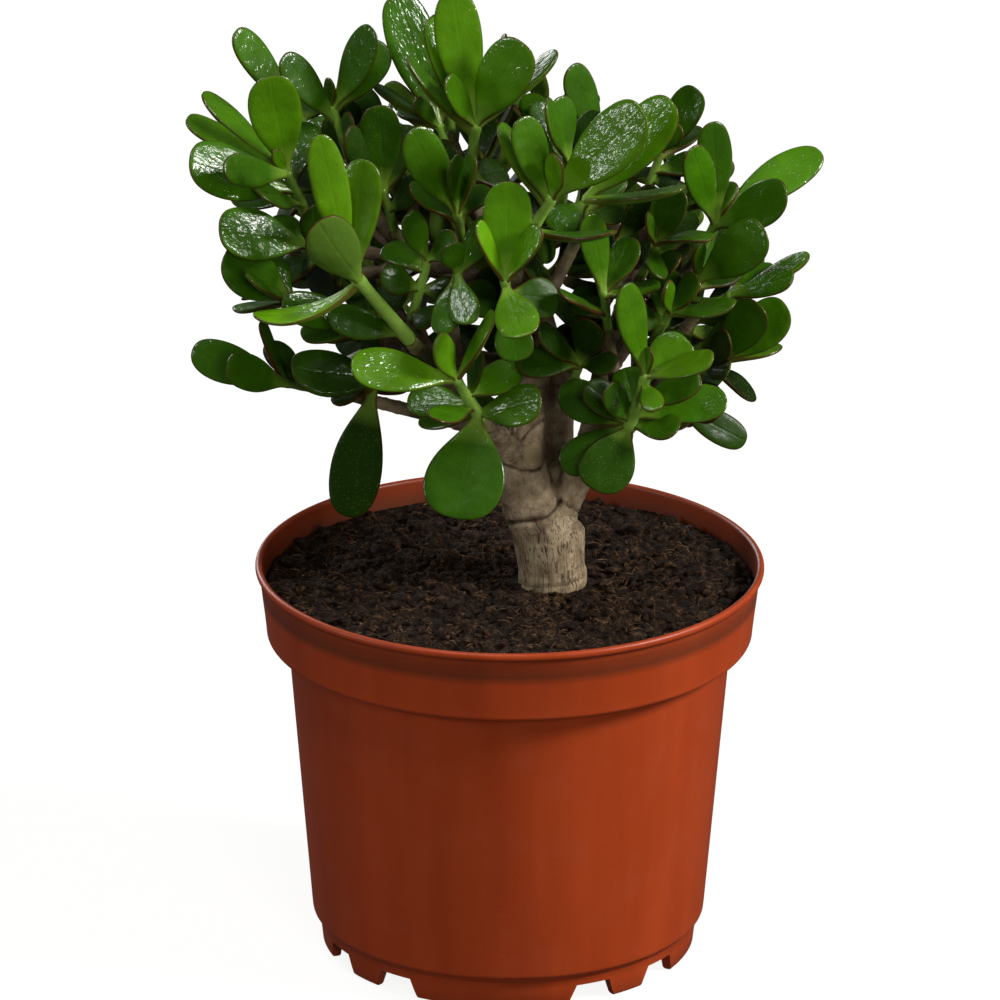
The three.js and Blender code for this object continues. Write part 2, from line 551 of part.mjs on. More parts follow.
// The shoots inside the crown, by where each one's tip is. Their leaves follow the rule below.
const INNER_TIPS = [
  [20, 122, -14], [45, 130, -6], [-64, 92, 14], [-10, 164, 16], [-36, 138, 16],
  [-86, 124, 14], [4, 96, -18], [78, 100, 12], [56, 88, -4],
];

// The crown's outline from the front, as seen points from the lower left over the top.
const OUTLINE = [
  [-96, 70], [-100, 88], [-98, 100], [-110, 104], [-116, 122], [-116, 142], [-104, 150], [-118, 162],
  [-110, 176], [-100, 192], [-88, 188], [-78, 184], [-66, 196], [-54, 206], [-46, 226], [-20, 230],
  [-8, 210], [8, 208], [14, 194], [32, 198], [38, 186], [62, 190], [76, 190], [80, 174], [88, 176],
  [92, 156], [104, 156], [120, 164], [110, 146], [104, 134], [102, 124], [110, 112], [112, 98],
  [100, 86], [92, 72], [84, 60], [60, 56], [48, 44], [20, 52], [-8, 58], [-40, 60], [-66, 66],
];

function insideOutline(point) {
  const { tilt, distance, centreAcross, centreRise } = SIGHT;
  const above = point.z - POT.height;
  const closer = 1 - (above * Math.sin(tilt) - point.y * Math.cos(tilt)) / distance;
  const across = centreAcross + (point.x - centreAcross) / closer;
  const up = above * Math.cos(tilt) + point.y * Math.sin(tilt);
  const rise = centreRise + (up - centreRise) / closer;
  let inside = false;
  for (let i = 0; i < OUTLINE.length; i++) {
    const [ax, ay] = OUTLINE[i];
    const [bx, by] = OUTLINE[(i + 1) % OUTLINE.length];
    if ((ay > rise) !== (by > rise) && across < ax + ((rise - ay) / (by - ay)) * (bx - ax)) inside = !inside;
  }
  return inside;
}

// The shoots of the far side spread over a dome by the golden angle, each with crossed pairs of
// leaves that shorten towards its tip.
const DOME = { centre: vec(-1, 6, 287), reachX: 84, reachY: 76, reachZ: 86, count: 15, seed: 4721 };
const RULE_SHOOT = { stem: 26, radius: 2.2, pairs: 3, length: 41, width: 19, spread: 52 };

function nearestJoint(point) {
  let best = null;
  for (const [name, joint] of Object.entries(JOINTS)) {
    const low = Math.max(0, joint.at.z - point.z + 6) * 3;
    const distance = joint.at.distanceTo(point) + low + (joint.radius > 6.5 ? 60 : 0);
    if (!best || distance < best.distance) best = { name, distance };
  }
  return best.name;
}

// A shoot with crossed pairs of leaves, from the place of its tip and the way that it grows.
function pairedShoot(name, tip, line, draw) {
  const from = tip.clone().addScaledVector(line, -RULE_SHOOT.stem);
  const leaves = [];
  const side = squareTo(vec(draw() - 0.5, draw() - 0.5, 0.1), line);
  const other = line.clone().cross(side);
  for (let pair = 0; pair < RULE_SHOOT.pairs; pair++) {
    const along = 0.3 + (0.7 * pair) / (RULE_SHOOT.pairs - 1);
    const size = (1 - 0.16 * pair) * (0.92 + 0.16 * draw());
    const open = (RULE_SHOOT.spread + 14 - 16 * pair) * RAD;
    for (const sign of [1, -1]) {
      const way = (pair % 2 ? other : side).clone().multiplyScalar(sign * Math.sin(open));
      way.addScaledVector(line, Math.cos(open));
      leaves.push({ along, way, length: RULE_SHOOT.length * size, width: RULE_SHOOT.width * size });
    }
  }
  return { name, joint: nearestJoint(from), from, to: tip, radius: RULE_SHOOT.radius, leaves };
}

function innerShoot(index, draw) {
  const tip = seen(INNER_TIPS[index]);
  const line = tip.clone().sub(DOME.centre).multiply(vec(1, 1, 0.6)).normalize();
  line.add(vec(0, -0.25, 0.7)).normalize();
  return pairedShoot(`inner_${index + 1}`, tip, line, draw);
}

function domeShoot(index, draw) {
  const { centre, reachX, reachY, reachZ, count } = DOME;
  const level = (index + 0.5) / count;
  const lift = Math.asin(-0.32 + 1.24 * level);
  const golden = ((index * 137.5) % 180) * RAD;
  const azimuth = golden + (draw() - 0.5) * 0.3;
  const flat = Math.cos(lift);
  const out = vec(flat * Math.cos(azimuth), flat * Math.sin(azimuth), Math.sin(lift));
  const tip = centre.clone().add(vec(out.x * reachX, out.y * reachY, out.z * reachZ));
  const line = out.clone().add(vec(0, 0, 0.75)).normalize();
  return pairedShoot(`far_${index + 1}`, tip, line, draw);
}

function frontShoot(name, row) {
  const from = seen(row.from);
  const shoot = { name, joint: nearestJoint(from), from, to: seen(row.to), radius: row.radius };
  shoot.leaves = row.leaves.map(([along, across, rise, back, width, turn, bend]) => (
    { along, tip: seen([across, rise, back]), width, turn, bend }));
  return shoot;
}

// Sets a leaf on its stem, leaned and swung by some degrees from where it wants to be.
function poseLeaf(shoot, leaf, lean, swing, scale) {
  const line = shoot.to.clone().sub(shoot.from);
  const stemLength = line.length();
  line.normalize();
  const down = Math.max(leaf.along * stemLength, shoot.radius + 2.4);
  const root = shoot.from.clone().addScaledVector(line, Math.min(down, stemLength - 0.8));
  const wanted = leaf.tip ? leaf.tip.clone().sub(root) : leaf.way.clone().multiplyScalar(leaf.length);
  const length = wanted.length() * scale;
  const reach = wanted.normalize();
  const hinge = squareTo(line, reach).cross(reach);
  reach.applyAxisAngle(line, swing * RAD);
  reach.applyAxisAngle(hinge.normalize(), lean * RAD);
  const face = leaf.tip ? squareTo(TO_FRONT, reach) : squareTo(line, reach);
  if (leaf.tip) face.applyAxisAngle(reach, -leaf.turn * RAD);
  const bend = leaf.bend ?? LEAF.bend;
  return { root, reach, face, length, width: leaf.width * Math.sqrt(scale), bend, plain: !leaf.tip };
}

const CLEAR = { attempts: 80, step: 0.5, room: 0.8 };
const SHIFTS = [0, 6, -6, 12, -12, 18, -18];
const SCALES = [1, 0.88, 0.76];
const OFFSETS = SHIFTS.flatMap((lean) => SHIFTS.map((swing) => [lean, swing]))
  .sort((a, b) => a[0] ** 2 + a[1] ** 2 - b[0] ** 2 - b[1] ** 2);

function clearance(beads, others) {
  let least = Infinity;
  for (const bead of beads) {
    for (const other of others) {
      if (other.owner === bead.owner) continue;
      if (other.wood && bead.s < BEAD.freeRoot) continue;
      const room = bead.at.distanceTo(other.at) - bead.radius - other.radius;
      if (room < least) least = room;
    }
  }
  return least;
}

// The first pose that holds a leaf clear of what stands already, or else the clearest one.
function settleLeaf(shoot, leaf, placed) {
  let best = null;
  for (const scale of SCALES) {
    for (const [lean, swing] of OFFSETS) {
      const pose = poseLeaf(shoot, leaf, lean, swing, scale);
      const reachable = placed.filter((b) => b.at.distanceTo(pose.root) < pose.length + 12);
      const room = clearance(leafBeads(pose, shoot.name), reachable);
      if (!leaf.tip && !insideOutline(leafFrame(pose, 1).at)) continue;
      if (room > 0) return { pose, room };
      if (!best || room > best.room) best = { pose, room };
    }
  }
  return best;
}

function limbBeads(points, radii, owner, wood) {
  const beads = [];
  for (let i = 0; i + 1 < points.length; i++) {
    const steps = Math.max(1, Math.ceil(points[i].distanceTo(points[i + 1]) / 3));
    for (let k = 0; k <= steps; k++) {
      const at = points[i].clone().lerp(points[i + 1], k / steps);
      const radius = THREE.MathUtils.lerp(radii[i], radii[i + 1], k / steps) + BEAD.clearance;
      beads.push({ at, radius, owner, wood });
    }
  }
  return beads;
}

function woodBeads(shoot) {
  const { points, radii } = twigPath(shoot);
  return limbBeads(points, radii, 'wood', true);
}

const stemBeads = (shoot) => (
  limbBeads([shoot.from, shoot.to], [shoot.radius, shoot.radius * 0.8], shoot.name, false));

// Moves a shoot of the rule by small draws until its stem and its twig stand clear.
function standClear(shoot, placed, draw) {
  let best = null;
  for (let attempt = 0; attempt < CLEAR.attempts; attempt++) {
    const reach = attempt * CLEAR.step;
    const shift = vec(draw() - 0.5, draw() - 0.5, draw() - 0.5).multiplyScalar(reach);
    const moved = { ...shoot, from: shoot.from.clone().add(shift), to: shoot.to.clone().add(shift) };
    moved.joint = nearestJoint(moved.from);
    const wood = placed.filter((bead) => bead.wood);
    const green = placed.filter((bead) => !bead.wood);
    const stemRoom = clearance(stemBeads(moved).slice(2), wood.concat(green));
    const twigRoom = clearance(woodBeads(moved), green);
    const room = Math.min(stemRoom, twigRoom);
    if (!best || room > best.room) best = { moved, room };
    if (room > CLEAR.room) break;
  }
  return best.moved;
}

// Lays out every shoot. A leaf that would cross another shoot or the wood is bent clear of it,
// and a leaf of the rule that finds no room is left off.
function layOut() {
  const draw = seeded(DOME.seed);
  const placed = [];
  for (const joint of Object.values(JOINTS)) {
    if (!joint.from) continue;
    const root = JOINTS[joint.from];
    placed.push(...limbBeads([root.at, joint.at], [root.radius, joint.radius], 'wood', true));
  }
  const shoots = Object.entries(FRONT_SHOOTS).map(([name, row]) => frontShoot(name, row));
  for (const shoot of shoots) placed.push(...woodBeads(shoot), ...stemBeads(shoot));
  const ruled = INNER_TIPS.map((_, i) => innerShoot(i, draw));
  for (let i = 0; i < DOME.count; i++) ruled.push(domeShoot(i, draw));
  for (const shoot of ruled) {
    const moved = standClear(shoot, placed, draw);
    placed.push(...woodBeads(moved), ...stemBeads(moved));
    shoots.push(moved);
  }
  for (const shoot of shoots) {
    shoot.poses = [];
    for (const leaf of shoot.leaves) {
      const settled = settleLeaf(shoot, leaf, placed);
      if (!settled || (settled.room <= 0 && !leaf.tip)) continue;
      shoot.poses.push(settled.pose);
      placed.push(...leafBeads(settled.pose, shoot.name));
    }
  }
  return shoots;
}

function makeShoot(shoot) {
  const line = shoot.to.clone().sub(shoot.from);
  const points = [shoot.from, shoot.from.clone().addScaledVector(line, 0.5), shoot.to];
  const stem = toSolid(limb(points, [shoot.radius, shoot.radius * 0.9, shoot.radius * 0.75], 6));
  return toGeometry(join([stem, ...shoot.poses.map(leafSolid)], SLIVER.leaf));
}

// ---------------------------------------------------------------- assembly

const plant = new THREE.Group();

function addPart(name, geometry, material) {
  const mesh = new THREE.Mesh(geometry, material);
  mesh.name = name;
  plant.add(mesh);
}

const shoots = layOut();
addPart('pot', makePot(), MATERIALS.pot);
addPart('soil', makeSoil(), MATERIALS.soil);
addPart('trunk', makeTrunk(shoots), MATERIALS.bark);
for (const shoot of shoots) addPart(`shoot_${shoot.name}`, makeShoot(shoot), MATERIALS.leaf);

export default plant;
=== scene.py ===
# %% [markdown]
# # A potted jade plant
# A jade plant stores water in thick, spoon-shaped leaves that grow in crossed pairs along fleshy stems.
# This one stands in a moulded nursery pot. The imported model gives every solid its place, and this
# lesson dresses it: finer leaves, bark, soil and pot, and the finishes that a studio photograph shows.

# %% Load the frame
from math import asin, cos, pi, radians, sin, sqrt

import bmesh
import bpy
import numpy as np
from mathutils import Matrix, Vector, noise
from mathutils.kdtree import KDTree


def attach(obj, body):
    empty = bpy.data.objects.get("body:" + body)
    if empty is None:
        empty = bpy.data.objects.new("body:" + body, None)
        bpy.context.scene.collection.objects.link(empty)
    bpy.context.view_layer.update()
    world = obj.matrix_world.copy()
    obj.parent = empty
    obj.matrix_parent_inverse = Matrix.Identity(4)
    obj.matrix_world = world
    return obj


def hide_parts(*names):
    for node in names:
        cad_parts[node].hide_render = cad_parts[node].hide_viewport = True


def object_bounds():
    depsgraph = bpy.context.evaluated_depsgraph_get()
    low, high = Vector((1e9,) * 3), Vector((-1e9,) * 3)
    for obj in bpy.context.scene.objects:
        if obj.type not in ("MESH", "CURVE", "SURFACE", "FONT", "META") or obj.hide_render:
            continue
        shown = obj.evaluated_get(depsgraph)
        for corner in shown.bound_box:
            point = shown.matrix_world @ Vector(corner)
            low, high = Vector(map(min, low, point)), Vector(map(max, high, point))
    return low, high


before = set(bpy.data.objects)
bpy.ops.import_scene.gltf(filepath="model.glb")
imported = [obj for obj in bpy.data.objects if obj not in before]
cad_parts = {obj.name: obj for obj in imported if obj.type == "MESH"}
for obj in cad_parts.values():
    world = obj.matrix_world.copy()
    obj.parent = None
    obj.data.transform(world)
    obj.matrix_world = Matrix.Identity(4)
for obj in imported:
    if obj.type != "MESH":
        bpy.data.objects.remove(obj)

cad_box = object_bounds()
print("solids:", len(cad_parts), "box:", cad_box)

# %% [markdown]
# ## Units, colour and nodes
# The pieces are thought out in millimetres and written in metres. A colour picked from a screen is
# sRGB, and Blender's shaders work with linear light, so one function turns it over. One small
# function adds any shader node with its settings and links, which keeps each finish short to read.

# %% Helpers for units, colour and nodes
MM = 0.001


def srgb(code):
    """Linear colour from an sRGB hex code."""
    parts = [int(code[i:i + 2], 16) / 255 for i in (0, 2, 4)]
    return tuple(c / 12.92 if c <= 0.04045 else ((c + 0.055) / 1.055) ** 2.4 for c in parts) + (1.0,)


NOISE, RAMP, MATH, MIX = "ShaderNodeTexNoise", "ShaderNodeValToRGB", "ShaderNodeMath", "ShaderNodeMix"
ATTRIBUTE, BUMP, OUTPUT = "ShaderNodeAttribute", "ShaderNodeBump", "ShaderNodeOutputMaterial"
SHARE, BASE, OVER, RESULT = 0, 6, 7, 2  # the sockets of a mix node for colours


def add_node(material, kind, inputs=(), out=0, stops=(), **settings):
    """Adds one node and gives back one of its outputs, or the node itself if out is None.

    Its inputs take a value, a colour code or another node's output, by name or in order. The stops
    of a colour ramp are pairs of a place and a colour code or a grey value.
    """
    node = material.node_tree.nodes.new(kind)
    for name, value in settings.items():
        setattr(node, name, value)
    for name, value in inputs.items() if isinstance(inputs, dict) else enumerate(inputs):
        if isinstance(value, bpy.types.NodeSocket):
            material.node_tree.links.new(value, node.inputs[name])
        else:
            node.inputs[name].default_value = srgb(value) if isinstance(value, str) else value
    elements = node.color_ramp.elements if stops else ()
    while len(elements) < len(stops):
        elements.new(0.5)
    for element, (place, colour) in zip(elements, stops):
        element.position = place
        element.color = srgb(colour) if isinstance(colour, str) else (colour, colour, colour, 1)
    return node if out is None else node.outputs[out]


def new_material(name):
    material = bpy.data.materials.new(name)
    material.use_nodes = True
    material.node_tree.nodes.clear()
    return material


print("middle grey in linear light:", round(srgb("808080")[0], 3))

# %% [markdown]
# ## Helpers for modelling
# Operators act on all that is selected, so each step starts from nothing selected. Rings of points are
# drawn out by extruding, as on the screen: extrude the open ring, move it, and scale it about its middle.

# %% Helpers for modelling
def select_only(piece):
    bpy.ops.object.select_all(action="DESELECT")
    piece.select_set(True)
    bpy.context.view_layer.objects.active = piece


def edit(piece, select="DESELECT"):
    select_only(piece)
    bpy.ops.object.mode_set(mode="EDIT")
    bpy.ops.mesh.select_all(action=select)


def leave_edit():
    bpy.ops.object.mode_set(mode="OBJECT")


def named(name):
    piece = bpy.context.object
    piece.name = name
    piece.data.name = name
    return piece


def draw_out(step, scale, middle):
    """Extrudes the selected ring by a step and scales it about its new middle."""
    bpy.ops.mesh.extrude_region_move(TRANSFORM_OT_translate={"value": step})
    bpy.ops.transform.resize(value=scale, center_override=middle)


def points_of(mesh):
    places = np.empty(len(mesh.vertices) * 3)
    mesh.vertices.foreach_get("co", places)
    return places.reshape(-1, 3)


def move_points(mesh, places):
    mesh.vertices.foreach_set("co", np.asarray(places).ravel())
    mesh.update()


def read_off(model):
    """The points and faces of a model that is there to be copied. The model itself goes."""
    points, faces = points_of(model.data), [list(face.vertices) for face in model.data.polygons]
    bpy.data.objects.remove(model)
    return points, faces


def carry(mesh, name, values):
    """Writes one number per point onto a mesh, for its finish to read."""
    mesh.attributes.new(name, "FLOAT", "POINT").data.foreach_set("value", np.asarray(values, np.float32))


def piece_from_copies(name, places, faces, numbers):
    """One smooth piece from the points of many copies, in millimetres, with their numbers."""
    mesh = bpy.data.meshes.new(name)
    mesh.from_pydata(np.concatenate(places) * MM, [], faces)
    mesh.polygons.foreach_set("use_smooth", [True] * len(mesh.polygons))
    for key, values in numbers.items():
        carry(mesh, key, np.concatenate(values))
    piece = bpy.data.objects.new(name, mesh)
    bpy.context.scene.collection.objects.link(piece)
    return piece


def dress(piece, material, slot, *nodes):
    """Gives a piece its finish and its place in the model."""
    piece.data.materials.clear()
    piece.data.materials.append(material)
    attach(piece, "root")
    if nodes:
        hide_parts(*nodes)


# %% [markdown]
# ## The camera
# The photograph is taken from the front, about 21 degrees above the rim, from far off. The three
# ellipses of rim, collar and foot fix the tilt and the size, and a long lens keeps the shapes upright.

# %% Place the camera
TILT = radians(20.8387)
AIM = Vector((-4.1495, 0, 194.1275)) * MM
AWAY = 4000 * MM
LENS, SENSOR, ROLL = 349.98, 36, radians(0.2496)  # lens and sensor in a camera's millimetres
camera_data = bpy.data.cameras.new("camera")
camera_data.lens = LENS
camera_data.sensor_width = SENSOR
camera_data.clip_start = 0.1
camera_data.clip_end = 50
camera = bpy.data.objects.new("camera", camera_data)
bpy.context.scene.collection.objects.link(camera)
turn = Matrix.Rotation(pi / 2 - TILT, 4, "X") @ Matrix.Rotation(ROLL, 4, "Z")
camera.matrix_world = Matrix.Translation(AIM + Vector((0, -cos(TILT), sin(TILT))) * AWAY) @ turn
bpy.context.scene.camera = camera
print("camera at", tuple(round(v, 3) for v in camera.matrix_world.translation))

# %% [markdown]
# ## Reading the plant from the front
# The plant is measured as it is seen: a point is across, rise and back, in millimetres, with rise
# square to the line of sight. This function turns such a point into one in space, with farther
# things drawn closer together by the perspective.

# %% From seen points to points in space
RIM_HEIGHT = 167.4
SIGHT_TILT, SIGHT_DISTANCE, CENTRE_ACROSS, CENTRE_RISE = radians(20.84), 4010, -4.15, 25
TO_FRONT = np.array([0, -cos(SIGHT_TILT), sin(SIGHT_TILT)])


def seen(place):
    across, rise, back = place
    near = (rise * sin(SIGHT_TILT) - back) / cos(SIGHT_TILT)
    closer = 1 - near / SIGHT_DISTANCE
    x = CENTRE_ACROSS + (across - CENTRE_ACROSS) * closer
    up = CENTRE_RISE + (rise - CENTRE_RISE) * closer
    return np.array([x, back, RIM_HEIGHT + (up - back * sin(SIGHT_TILT)) / cos(SIGHT_TILT)])


def seen_from(places):
    """The way back: across and rise of points in space."""
    above = places[:, 2] - RIM_HEIGHT
    closer = 1 - (above * sin(SIGHT_TILT) - places[:, 1] * cos(SIGHT_TILT)) / SIGHT_DISTANCE
    across = CENTRE_ACROSS + (places[:, 0] - CENTRE_ACROSS) / closer
    up = above * cos(SIGHT_TILT) + places[:, 1] * sin(SIGHT_TILT)
    return across, CENTRE_RISE + (up - CENTRE_RISE) / closer


def unit(v):
    return v / sqrt(v.dot(v))


def square_to(a, b):
    """The part of direction a that is square to direction b."""
    flat = a - b * a.dot(b)
    if flat.dot(flat) < 1e-4:
        flat = np.cross((b[2], b[0], b[1]), b)
    return unit(flat)


def turned(v, axis, degrees):
    c, s = cos(radians(degrees)), sin(radians(degrees))
    return v * c + np.cross(axis, v) * s + axis * (axis.dot(v) * (1 - c))


DRAW_STEP, DRAW_SPAN = 16807, 2147483647


def seeded(seed):
    """The same seed always gives the same draws, from 0 to 1."""
    state = seed
    while True:
        state = state * DRAW_STEP % DRAW_SPAN
        yield state / DRAW_SPAN


print("front of the rim, seen and in space:", seen((0, -37, -105)).round(1))


# %% [markdown]
# ## Where the wood forks
# A jade plant forks where a shoot tip was lost or has flowered, and each limb carries the next ones.
# The joints are the same as those of the solids, so twigs and leaves land where the solids have them.

# %% The joints of trunk and limbs
JOINTS = {name: (np.array(at, float), radius, parent) for name, at, radius, parent in (
    ("foot", (17.5, -5, 96), 14.4, None), ("collar", (17.5, -5, 166), 14.4, "foot"),
    ("knuckle", (16, -5, 182), 15.2, "collar"), ("bulge", (7, -5, 197), 12.4, "knuckle"),
    ("left1", (4.5, -4, 213), 10.2, "bulge"), ("left2", (6, -1, 233), 8.8, "left1"),
    ("left3", (10.5, 2, 252), 6.4, "left2"), ("left4", (2, 5, 282), 5, "left3"),
    ("left5", (-9, 4, 312), 4.2, "left4"), ("right1", (26.5, -7, 204), 6.4, "knuckle"),
    ("right2", (33, -8, 226), 5.4, "right1"), ("right3", (38, -5, 252), 4.8, "right2"),
    ("right4", (36, -2, 285), 4.2, "right3"), ("ringed", (-5, -20, 230), 4.6, "left1"),
    ("frontLeft", (-20, -22, 262), 4, "left3"), ("farLeft", (-40, -2, 258), 4, "left3"),
    ("leftUp", (-42, -4, 300), 3.8, "left4"), ("back1", (20, 6, 206), 7, "knuckle"),
    ("back2", (20, 14, 242), 6, "back1"), ("backLeft", (-34, 36, 285), 3.8, "left4"),
    ("back", (6, 42, 290), 3.8, "back2"), ("front", (8, -34, 285), 3.8, "left3"),
    ("frontRight", (44, -34, 246), 3.8, "right2"), ("rightLow", (58, -12, 246), 3.6, "right2"),
    ("rightUp", (60, -6, 285), 3.6, "right3"), ("backRight", (52, 36, 285), 3.6, "right3"))}
print("joints:", len(JOINTS))

# %% [markdown]
# ## The shoots that show from the front
# Each row is a shoot: the root and tip of its stem as seen points, the stem's radius, and its leaves.
# A leaf is its share along the stem, the seen place of its tip, its width, the turn of its upper face
# away from the front, and sometimes a stronger bend. A turn of 180 shows the underside.

